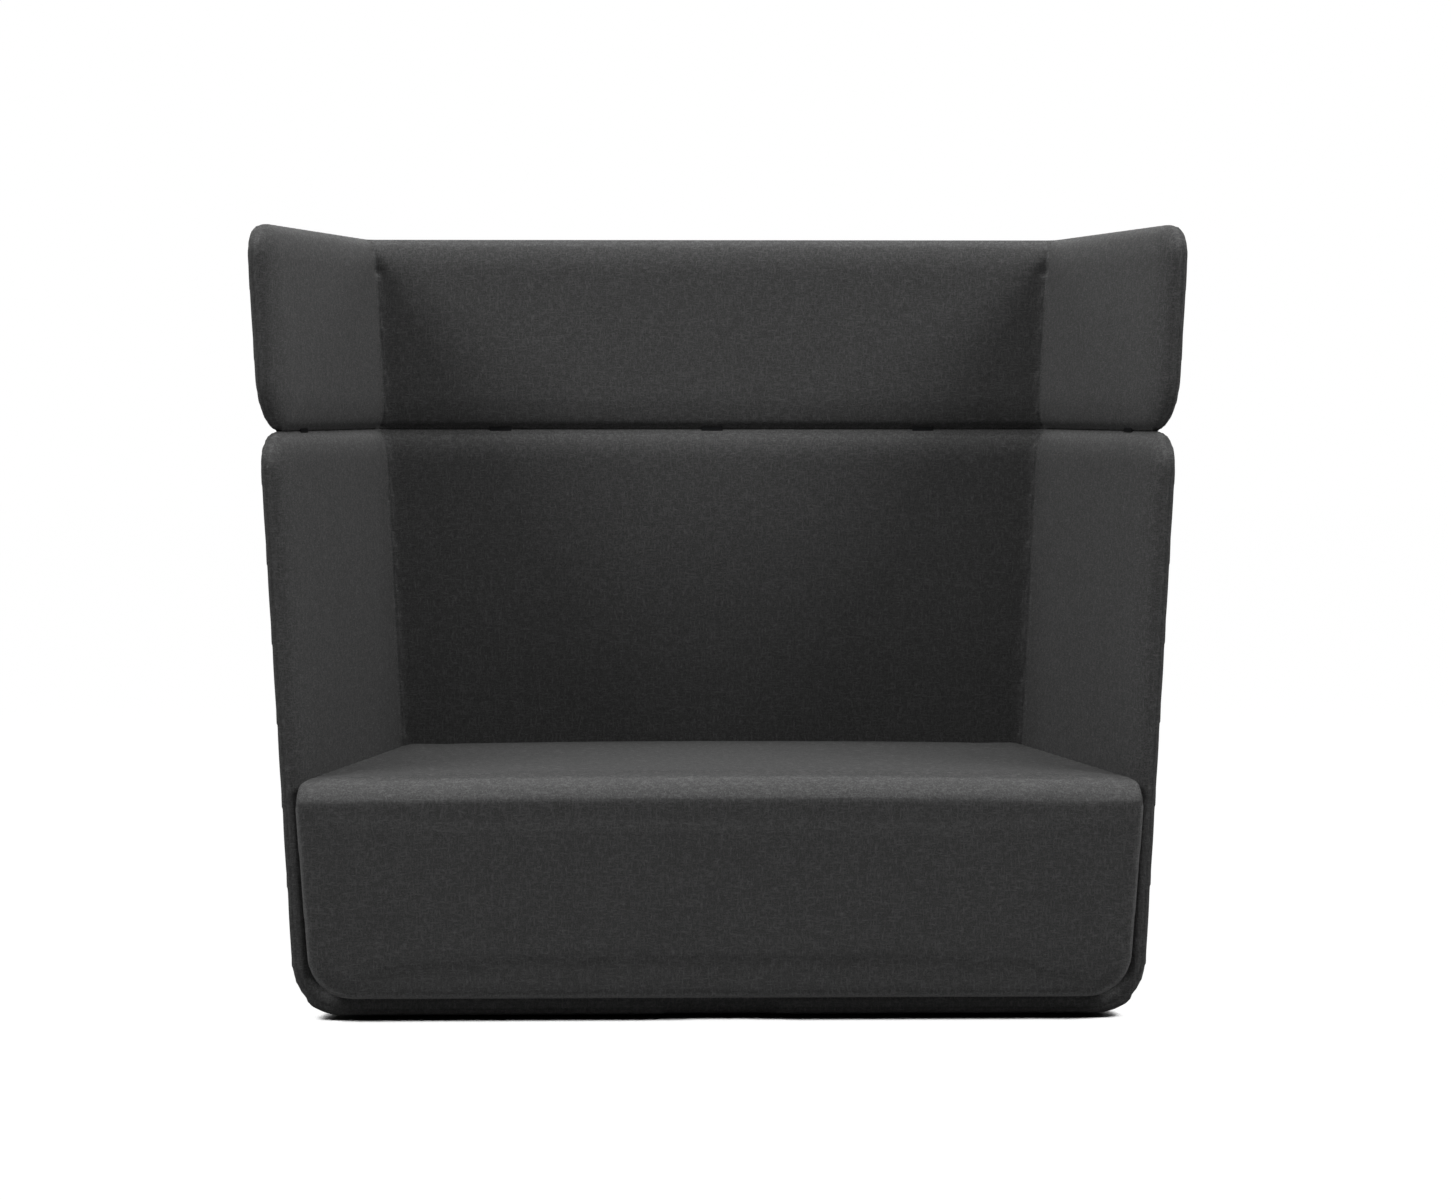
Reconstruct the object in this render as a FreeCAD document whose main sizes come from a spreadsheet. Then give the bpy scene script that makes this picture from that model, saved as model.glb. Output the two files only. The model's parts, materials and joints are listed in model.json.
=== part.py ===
"""High-back sofa: a flared upholstered shell, a block seat between its wings and a wrap-around collar.

The front faces -Y, +X is to the sitter's left, +Z is up. The origin is on the floor, under the middle of
the sofa's box. Lengths are millimetres and angles degrees.
"""
import FreeCAD
import Part
import Sketcher
import math
import os
from types import SimpleNamespace

DRIVING_DIMENSIONS = [
    ("overall_height", 1365, "floor to the top of the collar"),
    ("overall_depth", 810, "front of the seat to the top of the back"),
    ("base_front_width", 1462, "width of the shell at the floor, at its front edge"),
    ("side_flare", 4.25, "lean of the sides, outward"),
    ("side_splay", 11.9, "turn of the sides in plan, wider at the front"),
    ("back_lean", 5.4, "lean of the back, rearward"),
    ("front_rake", 3.4, "lean of the wings' front edges, rearward"),
    ("floor_clearance", 8, "floor to the underside of the shell"),
    ("groove_height", 1007, "floor to the joint between the shell and the collar"),
    ("wall", 40, "padded wall of shell and collar"),
    ("base_wall", 34, "padded base of the shell"),
    ("base_radius", 95, "round between the base and the sides"),
    ("rear_radius", 45, "round of the rear corners"),
    ("corner_radius", 10, "round of the inner corners"),
    ("shell_wing_radius", 72, "round of the shell's front top corners"),
    ("collar_low_radius", 90, "round of the collar's front lower corners"),
    ("collar_top_radius", 66, "round of the collar's front top corners"),
    ("rim_radius", 13, "roll of the panel edges"),
    ("seam_depth", 11, "outer face to the seam that joins the two covers"),
    ("cover_thickness", 2, "felted cloth"),
    ("layer_gap", 0.5, "play between a cover and its padding"),
    ("fit_gap", 0.3, "play between a rigid piece and what holds it"),
    ("board_depth", 5, "outer face to the plywood"),
    ("board_thickness", 15, "plywood"),
    ("board_margin", 24, "panel edge to the edge of the plywood"),
    ("curve_height", 130, "floor to the joint above the curved base pieces"),
    ("curve_reach", 100, "side of the base to the joint beside the base board"),
    ("post_reach", 85, "rear corner to the joint beside the corner post"),
    ("dowel_diameter", 8, "joint dowels"),
    ("dowel_length", 50, "joint dowels"),
    ("dowel_play", 0.1, "play of a dowel in its hole"),
    ("strap_width", 40, "steel straps of the collar"),
    ("strap_thickness", 5, "steel straps of the collar"),
    ("strap_length", 240, "steel straps of the collar"),
    ("strap_spread", 400, "middle of the back to its outer straps"),
    ("wing_strap_setback", 190, "wing's front edge to its strap"),
    ("strap_bolt_diameter", 6, "bolts of the straps"),
    ("strap_bolt_head", 12, "head of a strap bolt"),
    ("strap_bolt_head_height", 3.5, "head of a strap bolt"),
    ("strap_bolt_grip", 11, "length of a strap bolt in the plywood"),
    ("strap_bolt_pitch", 60, "between the two bolts at one end of a strap"),
    ("seat_height", 414, "floor to the edge of the seat's top"),
    ("seat_crown", 9, "rise of the middle of the seat"),
    ("seat_overhang", 39, "seat front ahead of the shell's front edge"),
    ("seat_gap", 0.5, "play between the seat and the shell"),
    ("seat_base_radius", 76, "round of the seat's lower side edges"),
    ("seat_front_radius", 45, "round of the seat's front edge"),
    ("seat_edge_radius", 12, "round of the seat's other edges"),
    ("seat_rear_radius", 16, "round of the seat's rear edges"),
    ("frame_front_padding", 50, "seat front to the seat frame"),
    ("frame_side_padding", 72, "seat side to the seat frame"),
    ("frame_rear_padding", 25, "seat back to the seat frame"),
    ("frame_height", 200, "seat rails"),
    ("rail_thickness", 25, "seat rails"),
    ("centre_rail_spread", 220, "middle of the seat to a centre rail"),
    ("centre_rail_height", 140, "centre rails"),
    ("corner_block", 60, "legs of the seat frame's corner blocks"),
    ("corner_block_height", 50, "corner blocks"),
    ("webbing_width", 50, "elastic webbing"),
    ("webbing_thickness", 2, "elastic webbing"),
    ("webbing_pitch", 105, "between the middles of two webbing straps"),
    ("seat_bolt_diameter", 8, "bolts that hold the seat down"),
    ("seat_bolt_head", 16, "countersunk head of a seat bolt"),
    ("seat_bolt_grip", 40, "length of a seat bolt in its rail"),
    ("seat_bolt_front", 150, "front of the seat frame to the first bolts"),
    ("seat_bolt_rear", 90, "rear of the seat frame to the last bolts"),
    ("spacer_diameter", 16, "spacer tubes on the seat bolts"),
    ("window_margin", 104, "side of the base to the opening in its underside"),
    ("window_front", 45, "front edge of the base to that opening"),
    ("window_rear", 70, "rear edge of the base to that opening"),
    ("dust_cover_thickness", 1, "cloth under the base"),
    ("glide_diameter", 44, "sole of a levelling glide"),
    ("glide_sole_height", 7, "sole of a levelling glide"),
    ("glide_hub_diameter", 20, "hub above the sole"),
    ("glide_stem_diameter", 8, "threaded stem"),
    ("glide_stem_length", 23, "threaded stem above the hub"),
    ("glide_thread_play", 0.15, "play of the stem in its nut"),
    ("glide_front_spread", 550, "middle of the sofa to a front glide"),
    ("glide_rear_spread", 440, "middle of the sofa to a rear glide"),
    ("glide_front_setback", 80, "front edge of the base to the front glides"),
    ("glide_rear_setback", 115, "rear edge of the base to the rear glides"),
    ("nut_barrel_diameter", 11, "nut in the base board"),
    ("nut_flange_diameter", 24, "nut in the base board"),
    ("nut_flange_thickness", 1.5, "nut in the base board"),
]

WEBBING_STRAPS = 9
JOINT_DOWELS = 2
TOUCH = 1e-3
WIDE = 4000.0
ROLL_EASE = (1, 0.97, 1.03, 0.94, 1.06, 0.9, 1.1, 0.85, 0.8)


class Size:
    """A number together with the sheet expression that yields it."""

    def __init__(self, value, formula):
        self.value = value
        self.formula = formula

    def __add__(self, other):
        other = as_size(other)
        return Size(self.value + other.value, f"({self.formula} + {other.formula})")

    def __sub__(self, other):
        other = as_size(other)
        return Size(self.value - other.value, f"({self.formula} - {other.formula})")

    def __mul__(self, other):
        other = as_size(other)
        return Size(self.value * other.value, f"({self.formula} * {other.formula})")

    def __truediv__(self, other):
        other = as_size(other)
        return Size(self.value / other.value, f"({self.formula} / {other.formula})")

    def __radd__(self, other):
        return as_size(other) + self

    def __rsub__(self, other):
        return as_size(other) - self

    def __rmul__(self, other):
        return as_size(other) * self

    def __neg__(self):
        return Size(-self.value, f"(-{self.formula})")


def as_size(number):
    return number if isinstance(number, Size) else Size(float(number), f"({float(number)})")


def tangent(angle):
    return Size(math.tan(math.radians(angle.value)), f"tan({angle.formula})")


def root(square):
    return Size(math.sqrt(square.value), f"sqrt({square.formula})")


def least(first, second):
    return Size(min(first.value, second.value), f"min({first.formula}; {second.formula})")


def fill_sheet(sheet):
    """Write the driving dimensions to the sheet and return them by name."""
    sizes = {}
    for row, (alias, value, note) in enumerate(DRIVING_DIMENSIONS, 1):
        sheet.set(f"A{row}", alias)
        sheet.set(f"B{row}", str(value))
        sheet.setAlias(f"B{row}", alias)
        sheet.set(f"C{row}", note)
        sizes[alias] = Size(float(value), f"dims.{alias}")
    return SimpleNamespace(**sizes)


doc = FreeCAD.newDocument("high_back_sofa")
dims = fill_sheet(doc.addObject("Spreadsheet::Sheet", "dims"))
doc.recompute()

# Planes of the flared form: sides, back and front edges, each `depth` inside its outer face

ZERO = as_size(0)
REACH = as_size(120)
flare = tangent(dims.side_flare)
splay = tangent(dims.side_splay)
lean = tangent(dims.back_lean)
rake = tangent(dims.front_rake)
side_unit = root(1 + splay * splay + flare * flare)
back_unit = root(1 + lean * lean)
front_unit = root(1 + rake * rake)

edge_roll = least(dims.rim_radius, (least(dims.wall, dims.base_wall) - 1) / 2)
seat_front = -dims.overall_depth / 2
front_foot = seat_front + dims.seat_overhang


def half_width(y, z, depth):
    """Half the width between the two side planes at a place."""
    return dims.base_front_width / 2 + z * flare - (y - front_foot) * splay - depth * side_unit


def back_y(z, depth):
    """Where the back plane stands at a height, its rolled top edge reaching to the overall depth."""
    top = dims.overall_depth / 2 + edge_roll * (lean + back_unit - 1)
    return top - (dims.overall_height - z) * lean - depth * back_unit


def front_y(z, depth):
    """Where the wings' front edges stand at a height."""
    return front_foot + z * rake + depth * front_unit


def corner_x(z):
    """Half the width of the back at a height, rear corners unrounded."""
    return half_width(back_y(z, ZERO), z, ZERO)


# Sketches, prisms and booleans

def bind(target, field, size):
    target.setExpression(field, size.formula)


def place(target, x, y, z):
    for axis, size in zip("xyz", (x, y, z)):
        bind(target, f"Placement.Base.{axis}", as_size(size))


def sketch_on(body, name, role, offset=ZERO):
    """A sketch on one of the body's origin planes, moved along that plane's normal."""
    plane = next(feature for feature in body.Origin.OriginFeatures if feature.Role == role)
    sketch = body.newObject("Sketcher::SketchObject", name)
    sketch.AttachmentSupport = (plane, [""])
    sketch.MapMode = "FlatFace"
    bind(sketch, "AttachmentOffset.Base.z", offset)
    return sketch


def pin_point(sketch, geometry, x, y):
    """Fix the start of a line at its distances from the sketch's origin."""
    for kind, size in (("DistanceX", x), ("DistanceY", y)):
        rule = sketch.addConstraint(Sketcher.Constraint(kind, -1, 1, geometry, 1, size.value))
        bind(sketch, f"Constraints[{rule}]", size)


def draw_polygon(sketch, corners):
    """A closed outline of straight lines through pairs of sizes."""
    corners = [(as_size(x), as_size(y)) for x, y in corners]
    first = sketch.GeometryCount
    count = len(corners)
    points = [FreeCAD.Vector(x.value, y.value, 0) for x, y in corners]
    for index in range(count):
        sketch.addGeometry(Part.LineSegment(points[index], points[(index + 1) % count]))
    for index in range(count):
        following = first + (index + 1) % count
        sketch.addConstraint(Sketcher.Constraint("Coincident", first + index, 2, following, 1))
    for index, (x, y) in enumerate(corners):
        pin_point(sketch, first + index, x, y)


def prism(name, role, corners, length, offset=ZERO, one_sided=False):
    """A straight prism on a polygon, centred on its sketch plane unless it is one-sided."""
    body = doc.addObject("PartDesign::Body", name)
    sketch = sketch_on(body, name + "_outline", role, offset)
    draw_polygon(sketch, corners)
    pad = body.newObject("PartDesign::Pad", name + "_pad")
    pad.Profile = sketch
    bind(pad, "Length", as_size(length))
    pad.SideType = "One side" if one_sided else "Symmetric"
    return body


def trapezium(half_of, near, far):
    """Corners of a plan outline whose half width is a function of y."""
    return [(-half_of(near), near), (half_of(near), near), (half_of(far), far), (-half_of(far), far)]


def region(name, low, high):
    """An axis-aligned box between two corners."""
    box = doc.addObject("Part::Box", name)
    low = [as_size(size) for size in low]
    high = [as_size(size) for size in high]
    for field, near, far in zip(("Length", "Width", "Height"), low, high):
        bind(box, field, far - near)
    place(box, *low)
    return box


def boolean(kind, name, base, tool):
    result = doc.addObject(kind, name)
    result.Base = base
    result.Tool = tool
    doc.recompute()
    return result


def cut(name, base, tool):
    return boolean("Part::Cut", name, base, tool)


def common(name, base, tool):
    return boolean("Part::Common", name, base, tool)


def group(name, members):
    """Separate solids that share one node."""
    compound = doc.addObject("Part::Compound", name)
    compound.Links = members
    doc.recompute()
    return compound


HALVES = {
    "left": region("left_half", (-WIDE, -WIDE, -WIDE), (0, WIDE, WIDE)),
    "right": region("right_half", (0, -WIDE, -WIDE), (WIDE, WIDE, WIDE)),
}
SIDES = {"left": -1, "right": 1}


def split_sides(name, base):
    """The left and right halves of a mirrored piece."""
    return {side: common(f"{name}_{side}", base, half) for side, half in HALVES.items()}


# Flared solids

def lies_at(edge, z):
    return all(abs(vertex.Z - z) < TOUCH for vertex in edge.Vertexes)


def round_edges(body, name, base, wanted, radius):
    """Fillet the edges of a body's feature that a test picks."""
    names = [f"Edge{number}" for number, edge in enumerate(base.Shape.Edges, 1) if wanted(edge)]
    fillet = body.newObject("PartDesign::Fillet", name)
    fillet.Base = (base, names)
    bind(fillet, "Radius", radius)
    doc.recompute()
    return fillet


def rear_loop(shape, low, high, closed_base):
    """A test for the edges round the rear face, without its top and without an open base's edge."""
    flat = [face for face in shape.Faces if isinstance(face.Surface, Part.Plane)]
    rear = max(flat, key=lambda face: face.normalAt(0, 0).y)

    def wanted(edge):
        if lies_at(edge, high) or (lies_at(edge, low) and not closed_base):
            return False
        return any(edge.isSame(other) for other in rear.Edges)
    return wanted


def flared_block(name, depth, low, high, front, base_radius=None, rear_radius=None, top_radius=None,
                 low_radius=None):
    """Solid between the side and back planes at a depth, two heights and a front given by height.

    The two side planes meet in one slanted line, so a plan outline padded along that line has both.
    """
    slant = flare / splay
    near = front(low) - (high - low) * slant - REACH
    far = back_y(high, depth) + REACH
    body = doc.addObject("PartDesign::Body", name)
    plan = sketch_on(body, name + "_plan", "XY_Plane", low)
    draw_polygon(plan, trapezium(lambda y: half_width(y, low, depth), near, far))
    pad = body.newObject("PartDesign::Pad", name + "_sides")
    pad.Profile = plan
    bind(pad, "Length", high - low)
    pad.UseCustomVector = True
    pad.Direction = FreeCAD.Vector(0, slant.value, 1)
    bind(pad, "Direction.y", slant)
    pad.AlongSketchNormal = True

    below = low - REACH
    above = high + REACH
    ahead = near - REACH
    behind = far + (above - below) * slant + REACH
    waste = sketch_on(body, name + "_waste", "YZ_Plane")
    draw_polygon(waste, [(ahead, below), (front(below), below), (front(above), above), (ahead, above)])
    draw_polygon(waste, [(back_y(below, depth), below), (behind, below),
                         (behind, above), (back_y(above, depth), above)])
    feature = body.newObject("PartDesign::Pocket", name + "_front_and_back")
    feature.Profile = waste
    feature.Type = "ThroughAll"
    feature.SideType = "Symmetric"
    doc.recompute()

    if base_radius is not None:
        def along_base(edge):
            ends = [vertex.Y for vertex in edge.Vertexes]
            return lies_at(edge, low.value) and max(ends) - min(ends) > TOUCH
        feature = round_edges(body, name + "_base_round", feature, along_base, base_radius)
    if rear_radius is not None:
        wanted = rear_loop(feature.Shape, low.value, high.value, base_radius is not None)
        feature = round_edges(body, name + "_rear_round", feature, wanted, rear_radius)
    for end, z, radius in (("top", high, top_radius), ("low", low, low_radius)):
        if radius is not None:
            def at_front(edge, z=z):
                return lies_at(edge, z.value) and all(
                    abs(vertex.Y - front(z).value) < TOUCH for vertex in edge.Vertexes)
            feature = round_edges(body, f"{name}_{end}_round", feature, at_front, radius)
    return body


def shell_solid(name, depth, rim):
    """Outside of the lower shell, with its faces and its front and top edges moved inward."""
    return flared_block(
        name, depth, dims.floor_clearance + depth, dims.groove_height - rim, lambda z: front_y(z, rim),
        dims.base_radius - depth, dims.rear_radius - depth, dims.shell_wing_radius - rim)


def shell_core(name, depth):
    """The same form run out past the front and the top, for hollowing at a depth of the wall."""
    return flared_block(
        name, depth, dims.floor_clearance + depth, dims.groove_height + REACH, lambda z: front_y(z, -REACH),
        dims.base_radius - depth, dims.rear_radius - depth)


def shell_well(name, skin):
    """The space between the wings, with the faces moved into the wall by a skin."""
    depth = dims.wall - skin
    return flared_block(
        name, depth, dims.floor_clearance + dims.base_wall - skin, dims.groove_height + REACH,
        lambda z: front_y(z, -REACH), dims.base_radius - depth, dims.corner_radius + skin)


def collar_solid(name, depth, rim):
    """Outside of the collar, with its faces and its edges moved inward."""
    return flared_block(
        name, depth, dims.groove_height + rim, dims.overall_height - rim, lambda z: front_y(z, rim),
        rear_radius=dims.rear_radius - depth, top_radius=dims.collar_top_radius - rim,
        low_radius=dims.collar_low_radius - rim)


def collar_core(name, depth, rear_radius):
    """The collar's form run out past its edges, for hollowing at a depth of the wall."""
    return flared_block(
        name, depth, dims.groove_height - REACH, dims.overall_height + REACH, lambda z: front_y(z, -REACH),
        rear_radius=rear_radius)


def is_rim(face, middle, open_base):
    """Front, top and, on the collar, bottom faces, and the rounds of the wings' front corners."""
    centre = face.CenterOfMass
    if isinstance(face.Surface, Part.Cylinder):
        return abs(face.Surface.Axis.x) > 1 - TOUCH and centre.y < 0
    if not isinstance(face.Surface, Part.Plane):
        return False
    normal = face.normalAt(0, 0)
    top = normal.z > 1 - TOUCH and centre.z > middle
    bottom = open_base and normal.z < TOUCH - 1
    front = abs(normal.x) < TOUCH and normal.y < -0.5 and centre.y < 0
    return top or bottom or front


def roll_edges(name, hollow, rims, radius):
    """Fillet the edges where rim faces meet the walls, a little tighter or looser if a corner won't close."""
    shared = {}
    for face in rims:
        for edge in face.Edges:
            shared[edge.hashCode()] = shared.get(edge.hashCode(), 0) + 1
    edges = [number for number, edge in enumerate(hollow.Shape.Edges, 1)
             if shared.get(edge.hashCode()) == 1]
    fillet = doc.addObject("Part::Fillet", name)
    fillet.Base = hollow
    for ease in ROLL_EASE:
        fillet.Edges = [(number, radius.value * ease, radius.value * ease) for number in edges]
        doc.recompute()
        if "Invalid" not in fillet.State and fillet.Shape.isValid():
            break
    return fillet


def rolled_panel(name, outside, inside, skin, open_base):
    """A hollow padded form with rolled edges."""
    hollow = cut(name + "_hollow", outside, inside)
    middle = hollow.Shape.BoundBox.Center.z
    rims = [face for face in hollow.Shape.Faces if is_rim(face, middle, open_base)]
    return roll_edges(name + "_rolled", hollow, rims, edge_roll - skin)


def shell_form(name, skin):
    return rolled_panel(name, shell_solid(name + "_outside", skin, skin),
                        shell_well(name + "_well", skin), skin, False)


def collar_form(name, skin):
    inside = collar_core(name + "_well", dims.wall - skin, dims.corner_radius + skin)
    return rolled_panel(name, collar_solid(name + "_outside", skin, skin), inside, skin, True)


pad_skin = dims.cover_thickness + dims.layer_gap
board_inner = dims.board_depth + dims.board_thickness
board_middle = dims.board_depth + dims.board_thickness / 2
base_low = dims.floor_clearance + dims.board_depth
base_high = dims.floor_clearance + board_inner
well_floor = dims.floor_clearance + dims.base_wall
seat_low = well_floor + dims.seat_gap
frame_low = seat_low + dims.cover_thickness + dims.layer_gap
frame_top = frame_low + dims.frame_height
seat_depth_in_wall = dims.wall + dims.seat_gap
nodes = {}


# Fasteners and round pieces

def rod(name, start, direction, diameter, length):
    """A cylinder from a point along a direction."""
    cylinder = doc.addObject("Part::Cylinder", name)
    bind(cylinder, "Radius", diameter / 2)
    bind(cylinder, "Height", as_size(length))
    turn = FreeCAD.Rotation(FreeCAD.Vector(0, 0, 1), direction)
    cylinder.Placement = FreeCAD.Placement(start, turn)
    return cylinder


def upright(name, x, y, low, diameter, length):
    """A vertical cylinder on a place in plan."""
    cylinder = rod(name, FreeCAD.Vector(), FreeCAD.Vector(0, 0, 1), diameter, length)
    place(cylinder, x, y, low)
    return cylinder


def point(x, y, z):
    return FreeCAD.Vector(as_size(x).value, as_size(y).value, as_size(z).value)


def side_normal(sign):
    return FreeCAD.Vector(sign, splay.value, -flare.value).normalize()


def back_normal():
    return FreeCAD.Vector(0, 1, -lean.value).normalize()


# Plywood of the shell: one bent layer of the wall, cut at its joints

def between(low, high, share):
    return low + (high - low) * share


def joint_shares():
    return [(index + 0.5) / JOINT_DOWELS for index in range(JOINT_DOWELS)]


def wall_joint_dowels(low, high, shares):
    """Middles and directions of the dowels beside the corner posts."""
    places = []
    for share in shares:
        z = between(low, high, share)
        joint_y = back_y(z, dims.post_reach)
        for sign in SIDES.values():
            along_side = FreeCAD.Vector(-sign * splay.value, 1, 0).normalize()
            places.append((point(sign * half_width(joint_y, z, board_middle), joint_y, z), along_side))
            post_x = sign * (corner_x(z) - dims.post_reach)
            places.append((point(post_x, back_y(z, board_middle), z), FreeCAD.Vector(1, 0, 0)))
    return places


def base_joint_dowels():
    """Middles and directions of the dowels round the base board and over the curved pieces."""
    places = []
    rear_joint = back_y(base_low, dims.post_reach)
    board_z = dims.floor_clearance + board_middle
    for share in joint_shares():
        y = between(front_y(ZERO, dims.board_margin), rear_joint, share)
        for sign in SIDES.values():
            up_side = FreeCAD.Vector(sign * flare.value, 0, 1).normalize()
            across = FreeCAD.Vector(1, sign * splay.value, 0).normalize()
            side_x = sign * half_width(y, dims.curve_height, board_middle)
            places.append((point(side_x, y, dims.curve_height), up_side))
            places.append((point(sign * base_half(y), y, board_z), across))
        x = between(-dims.strap_spread, dims.strap_spread, share)
        up_back = FreeCAD.Vector(0, lean.value, 1).normalize()
        places.append((point(x, back_y(dims.curve_height, board_middle), dims.curve_height), up_back))
        places.append((point(x, back_y(board_z, dims.post_reach), board_z), FreeCAD.Vector(0, 1, 0)))
    return places


def base_half(y):
    """Half the width of the base board."""
    return half_width(y, dims.floor_clearance, ZERO) - dims.curve_reach


def dowel_set(name, places):
    """The dowels and the slightly larger holes that they sit in."""
    dowels = []
    holes = []
    for number, (middle, direction) in enumerate(places):
        start = middle - direction * dims.dowel_length.value / 2
        dowels.append(rod(f"{name}_{number}", start, direction, dims.dowel_diameter, dims.dowel_length))
        deeper = dims.dowel_length + 2 * dims.dowel_play
        start = middle - direction * deeper.value / 2
        wider = dims.dowel_diameter + 2 * dims.dowel_play
        holes.append(rod(f"{name}_hole_{number}", start, direction, wider, deeper))
    return group(name, dowels), group(name + "_holes", holes)


def rear_zone(name, low, high):
    """Everything behind a plane that stands parallel to the back, in front of the corner posts."""
    joint = dims.post_reach
    return prism(name, "YZ_Plane", [(back_y(low, joint), low), (back_y(low, -REACH), low),
                                    (back_y(high, -REACH), high), (back_y(high, joint), high)], WIDE)


def middle_zone(name, low, high):
    """Everything between the two corner posts."""
    def half(z):
        return corner_x(z) - dims.post_reach
    return prism(name, "XZ_Plane", [(-half(low), low), (half(low), low),
                                    (half(high), high), (-half(high), high)], WIDE)


def upright_boards(prefix, layer, low, high, names):
    """Cut a bent layer into side boards, corner posts and a back board."""
    rear = rear_zone(prefix + "_rear_zone", low, high)
    middle = middle_zone(prefix + "_middle_zone", low, high)
    sides = split_sides(names["side"], cut(prefix + "_sides", layer, rear))
    behind = common(prefix + "_behind", layer, rear)
    posts = split_sides(names["post"], cut(prefix + "_posts", behind, middle))
    back = common(names["back"], behind, middle)
    boards = {names["back"]: back}
    for side in SIDES:
        boards[f"{names['side']}_{side}"] = sides[side]
        boards[f"{names['post']}_{side}"] = posts[side]
    return boards


def shell_frame(bores):
    """Base board, curved base pieces, rear rail, side panels, corner posts and back panel."""
    layer = cut("shell_ply", shell_solid("shell_ply_outside", dims.board_depth, dims.board_margin),
                shell_core("shell_ply_inside", board_inner))
    below = region("below_curve_joint", (-WIDE, -WIDE, -WIDE), (WIDE, WIDE, dims.curve_height))
    lower = common("shell_ply_low", layer, below)
    upper = cut("shell_ply_high", layer, below)
    boards = upright_boards("shell", upper, dims.curve_height - REACH, dims.groove_height + REACH,
                            {"side": "side_panel", "post": "corner_post", "back": "back_panel"})
    rear = rear_zone("rear_rail_zone", -REACH, dims.curve_height + REACH)
    boards["rear_rail"] = common("rear_rail", lower, rear)
    tray = cut("shell_ply_tray", lower, rear)
    floor_zone = prism("base_board_zone", "XY_Plane", trapezium(base_half, front_foot - REACH,
                                                                back_y(ZERO, -REACH)), WIDE)
    boards["base_board"] = common("base_board", tray, floor_zone)
    curves = split_sides("base_curve", cut("base_curves", tray, floor_zone))
    for side in SIDES:
        boards[f"base_curve_{side}"] = curves[side]
    places = base_joint_dowels()
    places += wall_joint_dowels(dims.curve_height, dims.groove_height - dims.board_margin, joint_shares())
    nodes["shell_dowels"], holes = dowel_set("shell_dowel", places)
    for name, board in boards.items():
        nodes[name] = cut(name + "_drilled", board, group(name + "_bores", [holes] + bores[name]))


def collar_frame(bores):
    """Wing boards, corner posts and back board of the collar."""
    inside = collar_core("collar_ply_inside", board_inner, dims.rear_radius - board_inner)
    layer = cut("collar_ply", collar_solid("collar_ply_outside", dims.board_depth, dims.board_margin),
                inside)
    names = {"side": "collar_wing_board", "post": "collar_corner_post", "back": "collar_back_board"}
    boards = upright_boards("collar", layer, dims.groove_height - REACH, dims.overall_height + REACH, names)
    places = wall_joint_dowels(dims.groove_height + dims.board_margin,
                               dims.overall_height - dims.board_margin, joint_shares())
    nodes["collar_dowels"], holes = dowel_set("collar_dowel", places)
    for name, board in boards.items():
        nodes[name] = cut(name + "_drilled", board, group(name + "_bores", [holes] + bores[name]))


# Steel straps that join the collar to the shell

strap_inner = board_inner + dims.strap_thickness
wing_strap_y = front_y(dims.groove_height, dims.wing_strap_setback)
strap_low = dims.groove_height - dims.strap_length / 2
strap_high = dims.groove_height + dims.strap_length / 2


def strap_boxes(prefix, play):
    """A box round each strap, wider than it by some play."""
    reach = dims.strap_width / 2 + play
    boxes = {}
    for name, middle in (("left", -dims.strap_spread), ("centre", ZERO), ("right", dims.strap_spread)):
        boxes[f"back_strap_{name}"] = region(f"{prefix}_back_{name}", (middle - reach, 0, strap_low - play),
                                             (middle + reach, WIDE, strap_high + play))
    for side, sign in SIDES.items():
        span = (as_size(-WIDE), ZERO) if sign < 0 else (ZERO, as_size(WIDE))
        boxes[f"wing_strap_{side}"] = region(
            f"{prefix}_wing_{side}", (span[0], wing_strap_y - reach, strap_low - play),
            (span[1], wing_strap_y + reach, strap_high + play))
    return boxes


def strap_layer(name, outer, inner):
    """A bent layer of the wall from end to end of the straps, between two depths."""
    low = strap_low - REACH
    high = strap_high + REACH
    outside = flared_block(name + "_outside", outer, low, high, lambda z: front_y(z, -REACH))
    inside = flared_block(name + "_inside", inner, low - REACH, high + REACH,
                          lambda z: front_y(z, -2 * REACH))
    return cut(name, outside, inside)


def strap_bolt_places():
    """For each strap, where its bolts' heads sit on it and which way they point."""
    heights = []
    for end in (-1, 1):
        for step in (-0.5, 0.5):
            middle = dims.groove_height + end * (dims.strap_length / 4 + dims.board_margin / 2)
            heights.append(middle + step * dims.strap_bolt_pitch)
    places = {}
    for name, x in (("left", -dims.strap_spread), ("centre", ZERO), ("right", dims.strap_spread)):
        places[f"back_strap_{name}"] = [
            (point(x, back_y(z, strap_inner), z), back_normal()) for z in heights]
    for side, sign in SIDES.items():
        places[f"wing_strap_{side}"] = [
            (point(sign * half_width(wing_strap_y, z, strap_inner), wing_strap_y, z), side_normal(sign))
            for z in heights]
    return places


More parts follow.
